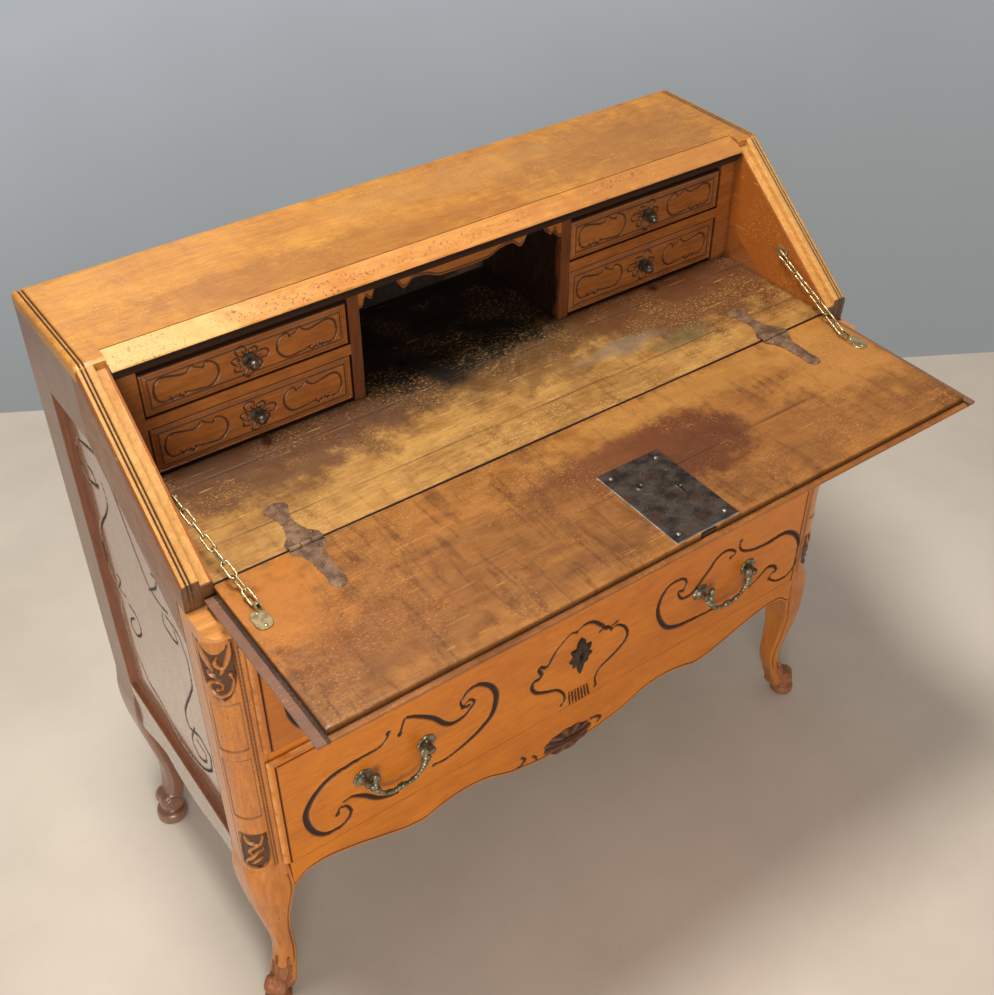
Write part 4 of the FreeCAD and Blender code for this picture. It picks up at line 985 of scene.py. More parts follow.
def ring_of(x_in, x_out, d_back, d_front, radii, counts):
    # A rounded rectangle from the inner front corner, along the front, the outer side, the back and the
    # inner side. radii: outer front, outer back, inner back, inner front. counts: points on each side and on
    # the corner after it.
    of, ob, ib, nf = radii
    points = []
    runs = [((x_in + nf, d_front), (x_out - of, d_front), (x_out - of, d_front - of), of, 90),
            ((x_out, d_front - of), (x_out, d_back + ob), (x_out - ob, d_back + ob), ob, 0),
            ((x_out - ob, d_back), (x_in + ib, d_back), (x_in + ib, d_back + ib), ib, -90),
            ((x_in, d_back + ib), (x_in, d_front - nf), (x_in + nf, d_front - nf), nf, 180)]
    for (start, end, centre, radius, angle), (side_count, corner_count) in zip(runs, counts):
        for k in range(side_count):
            t = k / side_count
            points.append((start[0] + (end[0] - start[0]) * t, start[1] + (end[1] - start[1]) * t))
        for k in range(corner_count):
            a = math.radians(angle - 90 * k / corner_count)
            points.append((centre[0] + radius * math.cos(a), centre[1] + radius * math.sin(a)))
    return np.array(points)


def inside(polygon, u, v):
    u, v = np.broadcast_arrays(u, v)
    hit = np.zeros(u.shape, bool)
    for (x0, y0), (x1, y1) in zip(polygon, polygon[1:] + polygon[:1]):
        if y0 != y1:
            crosses = (v < max(y0, y1)) & (v >= min(y0, y1))
            hit ^= crosses & (u < x0 + (v - y0) * (x1 - x0) / (y1 - y0))
    return hit


# A carved patch: its middle along the surface and its foot, its ground, its raised strokes and its outline
leaf_patch = (40, 651, [(-21, 99), (-13, 84), (-4, 77), (4, 77), (13, 84), (21, 99), (22, 60), (20, 30),
                        (11, 7), (0, 0), (-11, 7), (-20, 30), (-22, 60)], [
    ([(-19, 93), (-17, 76), (-11, 60), (-3, 48)], 1.6, 4.4, 1.2),
    ([(19, 93), (17, 76), (11, 62), (6, 50)], 1.6, 4.0, 1.2),
    ([(-2, 74), (2, 62), (-6, 52), (-2, 44)], 1.4, 3.4, 1.2),
    ([(-14, 42), (-16, 28), (-9, 12), (4, 8), (14, 15), (14, 27), (6, 33), (-2, 29), (-2, 21), (4, 19)],
     1.6, 3.2, 3),
    ([(14, 48), (9, 42), (4, 40)], 1.4, 2.6, 1.4),
], [([(-21, 97), (-22, 60), (-19, 30), (-10, 8), (0, 1), (10, 8), (19, 30), (22, 60), (21, 97)],
     1.3, 1.5, 1)])
block_patch = (40, 320, [(-19, 70), (17, 72), (20, 40), (20, 2), (-4, 0), (-16, 10), (-20, 36)], [
    ([(-14, 66), (-10, 52), (0, 44), (8, 34), (2, 26)], 1.4, 3.4, 1.4),
    ([(12, 66), (7, 54), (-3, 50)], 1.4, 3.0, 1.4),
    ([(-12, 38), (-4, 34), (4, 22), (14, 12), (17, 4)], 1.4, 3.4, 1.4),
    ([(-9, 22), (-2, 16), (6, 8)], 1.4, 3.0, 1.4),
], [([(-19, 70), (-20, 36), (-16, 10), (-4, 0), (20, 2), (20, 40), (17, 72), (-19, 70)], 1.2, 1.4, 1)])
PATCH_SAMPLE = 0.8


def carved_patch(u, z, middle, low, ground, raised, outline):
    # Drop below the surface and painted shade of one patch, sampled from a fine field.
    us = np.arange(-26, 26.1, PATCH_SAMPLE)
    vs = np.arange(-4, 104, PATCH_SAMPLE)
    up = np.clip(strokes_field(us, vs, raised), 0, 1)
    line = np.clip(strokes_field(us, vs, outline), 0, 1)
    sunk = inside(ground, us[None, :], vs[:, None]).astype(float)
    lift = np.sqrt(1 - (1 - up) ** 2)
    drop = sunk * (2.4 - 3.6 * lift)
    carved_shade = sunk * np.clip(0.66 - lift * 0.9, 0, 1) + 0.6 * np.clip(line * 2, 0, 1) * (1 - sunk)
    rows = (z - low - vs[0]) / PATCH_SAMPLE
    columns = (u - middle - us[0]) / PATCH_SAMPLE
    return [sampled(table, rows, columns) for table in (drop, carved_shade)]


def post_relief(u, z):
    # Drop below the surface, and painted shade in the carved lines, along the borders of the sunk fields and
    # in the carved patches.
    drop = np.zeros_like(u)
    carved_shade = np.zeros_like(u)
    on_shaft = smooth_step(z, KNEE - 2, KNEE + 4)
    for place in POST_LINES:
        line = bell(u - place, LINE_THIN) * on_shaft
        drop += 1.3 * line
        carved_shade = np.maximum(carved_shade, 0.9 * line * (0.75 + 0.25 * np.sin(z * 0.9 + place)))
    line = bell(u - BACK_LINE, LINE_THIN) * on_shaft
    drop += line
    carved_shade = np.maximum(carved_shade, 0.6 * line)
    fore, aft = FIELD_SIDES
    across = smooth_step(u, fore, fore + FADE) * (1 - smooth_step(u, aft - FADE, aft))
    for low, high in POST_FIELDS:
        inner = across * smooth_step(z, low, low + 4) * (1 - smooth_step(z, high - 4, high))
        drop += FIELD_DEEP * inner
        carved_shade = np.maximum(carved_shade, 0.45 * 4 * inner * (1 - inner))
    for patch in (leaf_patch, block_patch):
        more, dark = carved_patch(u, z, *patch)
        drop += more
        carved_shade = np.maximum(carved_shade, dark)
    line = bell(u - LEG_LINE, 1.1) * (z < KNEE - 20) * smooth_step(z, 62, 80)
    return drop + 1.4 * line, np.maximum(carved_shade, 0.55 * line)


def leg_section(z, front):
    # The leg's inner and outer side, back and front at a height.
    if z >= KNEE:
        outer, inner, first, second = 0.0, 1.0, 0.0, 1.0
    else:
        curves = (leg_outer, leg_inner, *((leg_fore, leg_aft) if front else (rear_back, rear_front)))
        outer, inner, first, second = (interpolate(curve, z / KNEE) for curve in curves)
    x_in, x_out = HALF - inner * POST_WIDTH, HALF - outer * POST_WIDTH
    if front:
        return x_in, x_out, POST_FRONT - second * POST_DEEP, POST_FRONT - first * POST_DEEP
    return x_in, x_out, max(0, first) * REAR_DEEP, second * REAR_DEEP


def front_post(side, word):
    rows = np.concatenate([np.arange(LEG_FOOT, KNEE, 2.5), np.arange(KNEE, POST_TOP + 0.1, 1.5)])
    rows[-1] = POST_TOP
    rings = []
    us = []
    for z in rows:
        x_in, x_out, d_back, d_front = leg_section(z, True)
        size = min(x_out - x_in, d_front - d_back)
        down = smooth_step(KNEE - z, 0, 120)
        small = 1.5 + (min(9, size * 0.28) - 1.5) * down
        large = CORNER + (min(CORNER, size * (0.62 - 0.2 * down)) - CORNER) * smooth_step(KNEE - z, 0, 60)
        ring = ring_of(x_in, x_out, d_back, d_front, (large, small, small, small * 0.6), FRONT_COUNTS)
        rings.append(ring)
        step = np.linalg.norm(np.diff(ring, axis=0), axis=1)
        us.append(np.concatenate([[0], np.cumsum(step)]) + small * 0.6)
    rings = np.array(rings)
    us = np.array(us)
    zs = np.broadcast_to(rows[:, None], us.shape)
    drop, carved_shade = post_relief(us, zs)
    ahead = np.roll(rings, -1, 1) - np.roll(rings, 1, 1)
    normal = np.stack([-ahead[..., 1], ahead[..., 0]], -1)
    normal /= np.linalg.norm(normal, axis=2, keepdims=True) + 1e-9
    outward = np.sign((normal * (rings - rings.mean(1, keepdims=True))).sum(2, keepdims=True))
    rings = rings - normal * outward * drop[..., None]
    mesh_piece(f"front_{word}_leg", loft(np.stack([side * rings[..., 0], rings[..., 1], zs], -1)), post_wood,
               "case", f"front_{word}_post", slot="case_walnut", cut=carved_shade)


def rear_post(side, word):
    rings = []
    for z in (*np.arange(LEG_FOOT, REAR_STEP, 2.5), REAR_STEP, REAR_STEP + 0.05, 320, 500, 700, UNDER_TOP):
        x_in, x_out, d_back, d_front = leg_section(min(z, KNEE), False)
        if z > REAR_STEP:
            x_in = WALL_IN
        size = min(x_out - x_in, d_front - d_back)
        small = 1.2 + (min(11, size * 0.33) - 1.2) * smooth_step(KNEE - z, 0, 120)
        ring = ring_of(x_in, x_out, d_back, d_front, (small,) * 4, REAR_COUNTS)
        rings.append([(side * x, d, z) for x, d in ring])
    mesh_piece(f"rear_{word}_leg", loft(rings), side_wood, "case", f"rear_{word}_post", slot="case_walnut")


FOOT_PAD = 20
FOOT_SCROLL = 15
FOOT_SCROLL_Z = 34
FOOT_COIL = 11
COIL_WIRE = 1.9
FOOT_GROW = 0.4


def foot(name, side, x, depth, way, front, material, bulk):
    # A turned pad and a scroll with a coil on each end, grown by bulk from the floor, under the leg's end.
    middle = np.array((x, depth, 0.0))
    fore = np.array((*way, 0.0))
    across = np.array((way[1], -way[0], 0.0))
    bodies = [
        lathe([(FOOT_PAD - 3, 0), (FOOT_PAD - 0.8, 1.5), (FOOT_PAD, 5), (FOOT_PAD, 11), (FOOT_PAD - 1.5, 15),
               (FOOT_PAD - 6, 18), (12, 20), (10, 32)], (x, depth, 0.01)),
        lathe([(8, -15), (10, -15), (FOOT_SCROLL - 2.5, -13.5), (FOOT_SCROLL, -11), (FOOT_SCROLL + 0.5, -6),
               (FOOT_SCROLL - 0.8, 0), (FOOT_SCROLL + 0.5, 6), (FOOT_SCROLL, 11), (FOOT_SCROLL - 2.5, 13.5),
               (10, 15), (8, 15)], (x, depth, FOOT_SCROLL_Z), across),
    ]
    turns = np.linspace(0, 2.2 * 2 * np.pi, 60)[:, None]
    spiral = FOOT_COIL * (1 - turns / turns[-1] * 0.9) * (np.cos(turns) * fore + np.sin(turns) * (0, 0, 1))
    for end in (-1, 1):
        eye = np.array((x, depth, FOOT_SCROLL_Z)) + across * 14.6 * end
        bodies.append(tube(eye + spiral, COIL_WIRE, 8))
    bodies = [(middle + (points - middle) * bulk, faces) for points, faces in bodies]
    rings = []
    for z in (26, 34, 42, 50, 58, 66):
        x_in, x_out, d_back, d_front = leg_section(max(z, LEG_FOOT), front)
        size = min(x_out - x_in, d_front - d_back)
        ring = ring_of(x_in - FOOT_GROW, x_out + FOOT_GROW, d_back - FOOT_GROW, d_front + FOOT_GROW,
                       (size * 0.4,) * 4, FRONT_COUNTS)
        rings.append([(*p, z) for p in ring])
    bodies.append(loft(rings))
    if front:
        tongue = []
        for lateral, z in ((-9, 82), (-9.5, 70), (-9, 57), (-6, 46), (0, 41), (6, 46), (9, 57), (9.5, 70),
                           (9, 82)):
            x_in, x_out, d_back, d_front = leg_section(z, True)
            inset = min(x_out - x_in, d_front - d_back) * 0.42 * (1 - 1 / math.sqrt(2))
            spot = np.array((x_out - inset, d_front - inset, z))
            tongue.append(spot + across * lateral - fore * abs(lateral) * 0.28)
        bodies.append(tube(smooth_path(tongue), COIL_WIRE, 8))
    points, faces = joined(*bodies)
    obj = mesh_piece(name, (points * (side, 1, 1), faces), material, "case", slot="case_walnut",
                     smooth=False)
    remesh = obj.modifiers.new("merge", "REMESH")
    remesh.mode = "VOXEL"
    remesh.voxel_size = 1.3 * MM
    remesh.use_smooth_shade = True
    soften = obj.modifiers.new("soften", "SMOOTH")
    soften.factor = 0.5
    soften.iterations = 4


for side, word in SIDES:
    front_post(side, word)
    rear_post(side, word)
    foot(f"front_{word}_foot", side, x=517, depth=447, way=(math.sqrt(0.5), math.sqrt(0.5)), front=True,
         material=foot_wood, bulk=1.0)
    foot(f"rear_{word}_foot", side, x=506, depth=55, way=(1.0, 0.0), front=False, material=side_wood,
         bulk=1.25)


# Apron, shell and niche valance: boards with a scalloped lower edge
apron_shares = ((0.989, 0.83), (0.957, 0.875), (0.917, 0.889), (0.798, 0.862), (0.691, 0.81),
                (0.606, 0.772), (0.547, 0.765), (0.506, 0.785), (0.451, 0.804), (0.387, 0.81),
                (0.319, 0.794), (0.221, 0.733), (0.16, 0.714), (0.117, 0.701), (0, 0.701))
valance_shares = ((1, 1.09), (0.96, 0.97), (0.944, 0.72), (0.875, 0.78), (0.85, 0.47), (0.79, 0.22),
                  (0.71, 0.25), (0.63, 0.5), (0.594, 0.81), (0.49, 0.59), (0.375, 0.62), (0.24, 0.87),
                  (0.14, 0.9), (0, 0.9))
hooks = [([(-86, 250), (-80, 243), (-84, 235), (-92, 232)], 1.4, 3.0, 2.6),
         ([(-66, 240), (-60, 234), (-58, 226)], 1.2, 2.2, 1.8),
         ([(46, 250), (58, 247), (66, 240), (60, 234)], 1.4, 2.8, 2.4)]
APRON_HALF = 468.5
APRON_LEVEL = 464
POST_IN = end_of("front_apron", "right")
VALANCE_HALF = end_of("niche_valance", "right")
VALANCE_HIGH = 32
EDGE_ROUND = 3
STROKE_SAMPLE = 1.5


def scalloped_board(name, node, slot, material, half, low_of, high, face, thick, groove_at, groove_deep,
                    strokes=(), step=2.0):
    us = np.linspace(-half, half, int(2 * half / step) + 1)
    lows = low_of(np.abs(us))
    near = np.array([0, 0.3, 0.9, 1.8, 3, 4.2, 5, 5.6, 6.2, 7, 8, 9.5, 11.5, 14])
    start = lows + near[-1]
    v = np.concatenate([lows + near[:, None], start + (high - start) * np.linspace(0, 1, 28)[1:, None]])
    away = np.full(v.shape, 99.0)
    away[:len(near)] = near[:, None]
    drop = EDGE_ROUND * (1 - np.sqrt(1 - (1 - np.minimum(away / EDGE_ROUND, 1)) ** 2))
    drop += groove_deep * bell(away - groove_at, 0.9)
    # Painted shade in the groove above the edge and in the carved strokes.
    carved_shade = 0.8 * bell(away - groove_at, 1.1)
    if strokes:
        vs = np.arange(lows.min() - 2, high + 2, STROKE_SAMPLE)
        columns = np.broadcast_to(np.arange(len(us)), v.shape)
        carved = sampled(strokes_field(us, vs, strokes), (v - vs[0]) / STROKE_SAMPLE, columns)
        more, dark = groove_of(carved, 1.8)
        drop += more
        carved_shade = np.maximum(carved_shade, dark)
    front = np.stack([np.broadcast_to(us, v.shape), face - drop, v], -1)
    mesh_piece(name, slab(front, 1, face - thick), material, "case", node, slot=slot, cut=carved_shade,
               wear_and_highlight=0.9 * np.clip(1 - away / 3.2, 0, 1))


def apron_low(x):
    return KNEE * interpolate(apron_shares, np.minimum(x, APRON_LEVEL) / POST_IN)


def valance_low(x):
    return UNDER_TOP - VALANCE_HIGH * interpolate(valance_shares, x / VALANCE_HALF)


SHELL_HALF = 45
SHELL_Z = 239
SHELL_LOW = {"lobes": 9, "tall": 27, "dome": 7.5}
SHELL_HIGH = {"lobes": 11, "tall": 21, "dome": 5.0}


def grounded(rings, depth):
    # Adds the last ring once more, at the depth of what the piece lies on.
    base = rings[-1:].copy()
    base[..., 1] = depth
    return np.concatenate([rings, base])


def shell():
    angles = round_angles(144)
    share = np.linspace(0.02, 1, 22)[:, None]
    lobes, tall, dome = (np.where(np.sin(angles) < 0, SHELL_LOW[key], SHELL_HIGH[key]) for key in SHELL_LOW)
    wave = np.cos(lobes * angles)
    u = SHELL_HALF * share * np.cos(angles) * (1 + 0.05 * wave)
    v = tall * share * np.sin(angles) * (1 + 0.05 * wave)
    dome = dome * np.sqrt(1 - share ** 2.4) * np.where(share > 0.08, 1, 0.9)
    flute = (1.5 + 0.5 * wave) / 2
    across = np.maximum(0, 1 - (u / 43) ** 2)
    ridge = 3.2 * bell(v, 1.5) * across
    valley = 3.0 * bell(v - 4, 2.2) * across
    rings = np.stack([u, FACE + dome * (0.55 + 0.45 * flute) + ridge - valley * 0.5, SHELL_Z + v], -1)
    # Painted shade in the flute hollows and the valley, and at the ring where the shell meets the apron.
    dark = np.minimum(1, (1 - flute) * 1.5 * share + 0.7 * valley / 3 + 0.25)
    mesh_piece("shell", loft(grounded(rings, FACE - 2)), foot_wood, "case", slot="front_walnut", cut=dark,
               rest=0.3)


scalloped_board("apron", "front_apron", "front_walnut", front_wood, APRON_HALF, apron_low,
                high=KNEE - 0.1, face=FACE, thick=24, groove_at=5.6, groove_deep=1.5, strokes=hooks)
shell()
scalloped_board("valance", "niche_valance", "gallery_walnut", gallery_wood, VALANCE_HALF, valance_low,
                high=UNDER_TOP, face=GALLERY, thick=12, groove_at=4, groove_deep=0.9, step=1.2)


# Gallery drawers
cartouche = [
    ([(-57, 13), (-55, 18), (-48, 17.5), (-40, 9), (-40, -4), (-50, -15), (-66, -15), (-84, -12)],
     0.9, 1.7, 1.8),
    ([(-88, -15), (-100, -14), (-113, -15), (-120, -9), (-122, 2), (-119, 13), (-111, 18), (-98, 16),
      (-84, 13), (-76, 16), (-72, 21), (-66, 16), (-58, 13)], 0.9, 1.6, 1.6),
    ([(-92, -12), (-88, -17), (-83, -14)], 0.8, 1.4, 1.3),
    ([(-104, -11), (-101, -16), (-96, -12)], 0.8, 1.4, 1.3),
]
small_strokes = cartouche + [([(-u, v) for u, v in points], *rest) for points, *rest in cartouche]
for k in range(7):
    turn = 2 * math.pi * k / 7 + 0.3
    reach = 25 if k % 2 else 20
    petal = []
    for radius, swing in ((10, -0.30), (15, -0.42), (reach - 3, -0.28), (reach, 0.0), (reach - 3, 0.28),
                          (15, 0.3), (11, 0.18)):
        petal.append((radius * 1.12 * math.cos(turn + swing), radius * 0.92 * math.sin(turn + swing)))
    vein = [(9 * math.cos(turn), 8 * math.sin(turn)),
            (reach * 0.75 * math.cos(turn), reach * 0.66 * math.sin(turn))]
    small_strokes += [(petal, 0.8, 1.5, 1.2), (vein, 0.6, 1.1, 0.5)]
SMALL_LEFT = end_of("small_drawer_lower_right", "left")
SMALL_RIGHT = end_of("small_drawer_lower_right", "right")
SMALL_FACE = end_of("small_drawer_lower_right", "front")
SMALL_FRONT_BACK = 185.4
SMALL_GROOVE = 1.3
SMALL_ROUND = 4
SMALL_LINE = 10.4
SIDE_THICK = 6


def small_drawer(side, word, row, low, high, floor_z):
    body = f"small_drawer_{row}_{word}"
    middle = (SMALL_LEFT + SMALL_RIGHT) / 2
    half = (SMALL_RIGHT - SMALL_LEFT) / 2
    us = np.linspace(-half, half, 277)
    vs = np.linspace(-(high - low) / 2, (high - low) / 2, int(high - low) + 1)
    u, v = np.meshgrid(us, vs)
    drop, cut = groove_of(strokes_field(us, vs, moved(small_strokes, along_v=-1)), SMALL_GROOVE)
    edge = np.minimum(half - np.abs(u), (high - low) / 2 - np.abs(v))
    line = bell(edge - SMALL_LINE, 0.8)
    drop += SMALL_ROUND * (1 - np.sqrt(1 - (1 - np.clip(edge / SMALL_ROUND, 0, 1)) ** 2))
    drop += 2.2 * smooth_step(edge, 4.6, 5.2) * (1 - smooth_step(edge, 5.2, 10)) + 1.2 * line
    # Darkened in the carving and the line, painted shade, and over the outermost edge, painted shade of the
    # gap around the drawer.
    cut = np.maximum(np.maximum(cut * 0.7, 0.75 * line), 0.8 * (edge < 1.6))
    front = np.stack([side * (middle + u), SMALL_FACE - drop, v + (low + high) / 2], -1)
    bodies = [slab(front, 1, SMALL_FRONT_BACK)]
    top = high - 14
    for near, far, d0, d1, z0, z1 in ((SMALL_LEFT, SMALL_LEFT + SIDE_THICK, 40, 186, floor_z, top),
                                      (SMALL_RIGHT - SIDE_THICK, SMALL_RIGHT, 40, 186, floor_z, top),
                                      (SMALL_LEFT + 5, SMALL_RIGHT - 5, 40.3, 46, floor_z + 0.2, top),
                                      (SMALL_LEFT + 4, SMALL_RIGHT - 4, 44, 186.5, low + 0.1, low + 6)):
        bodies.append(box_mesh(*sorted((side * near, side * far)), d0, d1, z0, z1))
    mesh_piece(f"small_front_{row}_{word}", joined(*bodies), gallery_wood, body, body, slot="gallery_walnut",
               cut=cut)
    knob = lathe([(8, 0), (9, 0.4), (9, 1.4), (6.5, 2.2), (3.4, 3), (2.8, 6), (3.2, 8.4), (5.6, 9.6),
                  (6.8, 12), (7, 15), (6.2, 18), (4.2, 20.3), (2.0, 21.6), (0.6, 22)],
                 (side * middle, SMALL_FACE, (low + high) / 2), (0, 1, 0), 32, 8, 0.03)
    mesh_piece(f"knob_{row}_{word}", knob, knob_metal, body, f"small_knob_{row}_{word}", slot="knob_metal")


for side, word in SIDES:
    small_drawer(side, word, "lower", low=796.5, high=865.2, floor_z=BOARD)
    small_drawer(side, word, "upper", low=881.8, high=942, floor_z=881)


# Writing board and lid
HINGE = 409
BOARD_END = end_of("writing_board", "front")
LID_START = end_of("lid_board", "back")
LID_UNDER = end_of("lid_board", "low")
LIP_TOP = 783.75
LID_FIELD = 660.248
LID_END = 668.547
LID_HALF = 481.9
LIP_HALF = end_of("lid_board", "right")
LIP_STROKES = 8
LIP_STROKES_END = 660.5
LIP_STRETCH = 251 / 208
STROKES_LOW = end_of("lower_drawer_front", "low")
BOLT_BACK = 622
BOLT_SLOT = (18.65, 39.35)
NOTCH = 22.3
NOTCH_DEEP = 4.1
SEAM_WIDE = 0.7
NOTCH_STEPS = (-NOTCH - 0.1, -NOTCH, NOTCH, NOTCH + 0.1)
SEAM_STEPS = (-1.2, -0.5, 0, 0.5, 1.2)
BOARD_SEAMS = (236, 352)
LID_SEAM = 548
hinge_places = (-365, 382)


def undulation(x, d):
    return (0.35 * np.sin(x * 0.013 + d * 0.006) + 0.25 * np.sin(x * 0.004 - d * 0.031 + 1.7)
            + 0.12 * np.sin(x * 0.05 + 2.2 * np.sin(d * 0.02))) * 0.6 - 0.45


def near_hinge(x):
    return min(abs(x - place) for place in hinge_places) < NOTCH + 0.05


def around(places, steps):
    return [place + step for place in places for step in steps]


def stations(low, high, step, exact):
    return np.array(sorted({*np.round(np.linspace(low, high, int((high - low) / step) + 1), 3), *exact}))


def writing_board():
    us = stations(-WALL_IN, WALL_IN, 8, around(hinge_places, NOTCH_STEPS))
    ds = stations(BACK_FACE, BOARD_END, 5,
                  around(BOARD_SEAMS, SEAM_STEPS) + [404, 406.5, 406.9, 407.2, 407.7])
    u, d = np.meshgrid(us, ds)
    limit = np.array([BOARD_END - NOTCH_DEEP * near_hinge(x) for x in us])
    d = np.minimum(d, limit - 0.001 * (BOARD_END - d))
    seams = np.maximum(*(bell(d - seam, SEAM_WIDE) for seam in BOARD_SEAMS))
    seams = seams * (0.7 + 0.3 * np.sin(u * 0.03))
    z = BOARD + undulation(u, d) - 0.8 * seams - np.where(limit - d < 1, 0.5, 0)
    # Dark at the plank seams; painted shade along the front edge by the hinge and over the edges and
    # underside.
    mesh_piece("writing_surface", slab(np.stack([u, d, z], -1), 2, LEDGE), board_wood, "case",
               "writing_board", slot="writing_walnut", cut=np.maximum(0.6 * seams, limit - d < 1.4),
               rest=1.0)


def lid_field():
    us = stations(-LID_HALF, LID_HALF, 8, around(hinge_places, NOTCH_STEPS) + around([-LID_HALF], (0.4, 1.2))
                  + around([LID_HALF], (-1.2, -0.4)))
    ds = stations(LID_START, LID_FIELD, 5, around([LID_SEAM], SEAM_STEPS) + [410, 410.8, 411.1]
                  + around([LID_FIELD], (-1.2, -0.4)))
    u, d = np.meshgrid(us, ds)
    limit = np.array([LID_START + NOTCH_DEEP * near_hinge(x) for x in us])
    d = np.maximum(d, limit + 0.001 * (d - LID_START))
    stop = np.where((u > BOLT_SLOT[0]) & (u < BOLT_SLOT[1]), BOLT_BACK, LID_FIELD + 1)
    d = np.where(d > stop, stop + 0.001 * (d - stop), d)
    edge = np.minimum(np.minimum(LID_HALF - np.abs(u), LID_FIELD - d), d - limit + 0.4)
    part = 0.5 + 0.5 * np.tanh((np.abs(u + 120) - 60) / 30)
    seam = bell(d + 0.012 * u - LID_SEAM, SEAM_WIDE) * part * 0.8
    z = BOARD + undulation(u + 300, d) - np.where(edge < 1.2, (1.2 - edge) * 0.7, 0) - 0.6 * seam
    # Dark at the plank seam; painted shade along the back edge by the hinge and down the edges.
    mesh_piece("lid_field", slab(np.stack([u, d, z], -1), 2, LIP_TOP), lid_wood, "lid", "lid_board",
               slot="lid_walnut", cut=np.maximum(0.6 * seam, d - limit < 1.4), rest=0.6)


def lid_lip():
    # The outer face carries the first of the drawers' strokes, turned over and stretched.
    us = np.linspace(-LIP_HALF, LIP_HALF, 500)
    ds = np.linspace(HINGE + 8, LID_END, 127)
    u, d = np.meshgrid(us, ds)
    outer = [([(u, LIP_STROKES_END - (v - STROKES_LOW) * LIP_STRETCH) for u, v in points], *rest)
             for points, *rest in drawer_strokes[:LIP_STROKES]]
    drop, cut = groove_of(strokes_field(us, ds, outer), 1.6)
    edge = np.minimum(LIP_HALF - np.abs(u), LID_END - d)
    line = bell(edge - 9, 1.2)
    front = np.stack([u, d, LID_UNDER + drop + thumb_edge(edge, 7, 2.6) + 1.1 * line], -1)
    # The carving and the line inside the edge are darkened: painted shade in them.
    mesh_piece("lid_lip", slab(front, 2, LIP_TOP), lip_wood, "lid", slot="lid_walnut",
               cut=np.maximum(cut, 0.75 * line))


writing_board()
lid_field()
lid_lip()


# Ironwork
upper_leaf = [(0.4, 24), (7, 22), (15, 15), (27, 10), (42, 8), (56, 11), (68, 16), (75, 13), (79, 5)]
lower_leaf = [(0.4, 24), (6, 21), (14, 15), (26, 11), (42, 10), (58, 9), (70, 10), (78, 7), (81, 3)]
STRAP_START = 4.5
STRAP_TOP = BOARD + 0.9
STRAP_UNDER = BOARD - 1.6
BARREL = 4
LOCK = [end_of("lid_lock_plate", side) for side in ("left", "right", "back", "front")]
LOCK_INSET = 13
PIN_HOLE = (12, 555)
KEY_SLOT = (52, 584)


def strap(outline, start, way, x, seed):
    # A forged leaf plate: half widths at distances from the hinge line, domed on top.
    along, half = smooth_path(outline, 2.0).T[..., None]
    half = np.maximum(0.8, half + 0.5 * np.sin(along * 0.9 + seed) + 0.4 * np.sin(along * 2.3 + seed * 2))
    across = np.linspace(-1, 1, 9)
    top = STRAP_TOP - 0.7 * across ** 2 + 0.12 * np.sin(along * 0.5 + 3 * across)
    front = np.stack([x + half * across, start + way * along + 0 * across, top], -1)
    return slab(front, 2, STRAP_UNDER)


def nail_head(x, d, z, radius=2.6, tall=1.3):
    profile = [(radius, -1), (radius, 0), (radius * 0.92, tall * 0.45), (radius * 0.66, tall * 0.8),
               (radius * 0.3, tall), (0.2, tall)]
    return lathe(profile, (x, d, z), count=14)


def hinges():
    upper = []
    lower = []
    for place in hinge_places:
        upper.append(strap(upper_leaf, HINGE - STRAP_START, -1, place, place * 0.01))
        lower.append(strap(lower_leaf, HINGE + STRAP_START, 1, place, place * 0.013 + 1))
        for group, way, nails in ((upper, -1, ((-14, 13), (14, 13), (0, 40), (0, 68))),
                                  (lower, 1, ((-13, 13), (13, 13), (0, 42), (0, 70)))):
            group += [nail_head(place + x, HINGE + way * d, STRAP_TOP) for x, d in nails]
        for group, way, x0, x1 in ((upper, -1, -22, -7), (upper, -1, 7, 22), (lower, 1, -6.8, 6.8)):
            barrel = [(BARREL - 0.6, x0), (BARREL, x0 + 0.5), (BARREL, x1 - 0.5), (BARREL - 0.6, x1)]
            group.append(lathe(barrel, (place, HINGE, BOARD), (1, 0, 0), 20))
            web = sorted((HINGE + way * 2.5, HINGE + way * 9))
            group.append(box_mesh(place + x0, place + x1, *web, STRAP_UNDER, BOARD + 0.5))
    mesh_piece("hinge_straps", joined(*upper), iron, "case", "hinge_upper_leaves", slot="hinge_iron")
    mesh_piece("hinge_tongues", joined(*lower), iron, "lid", "hinge_lower_leaves", slot="hinge_iron")


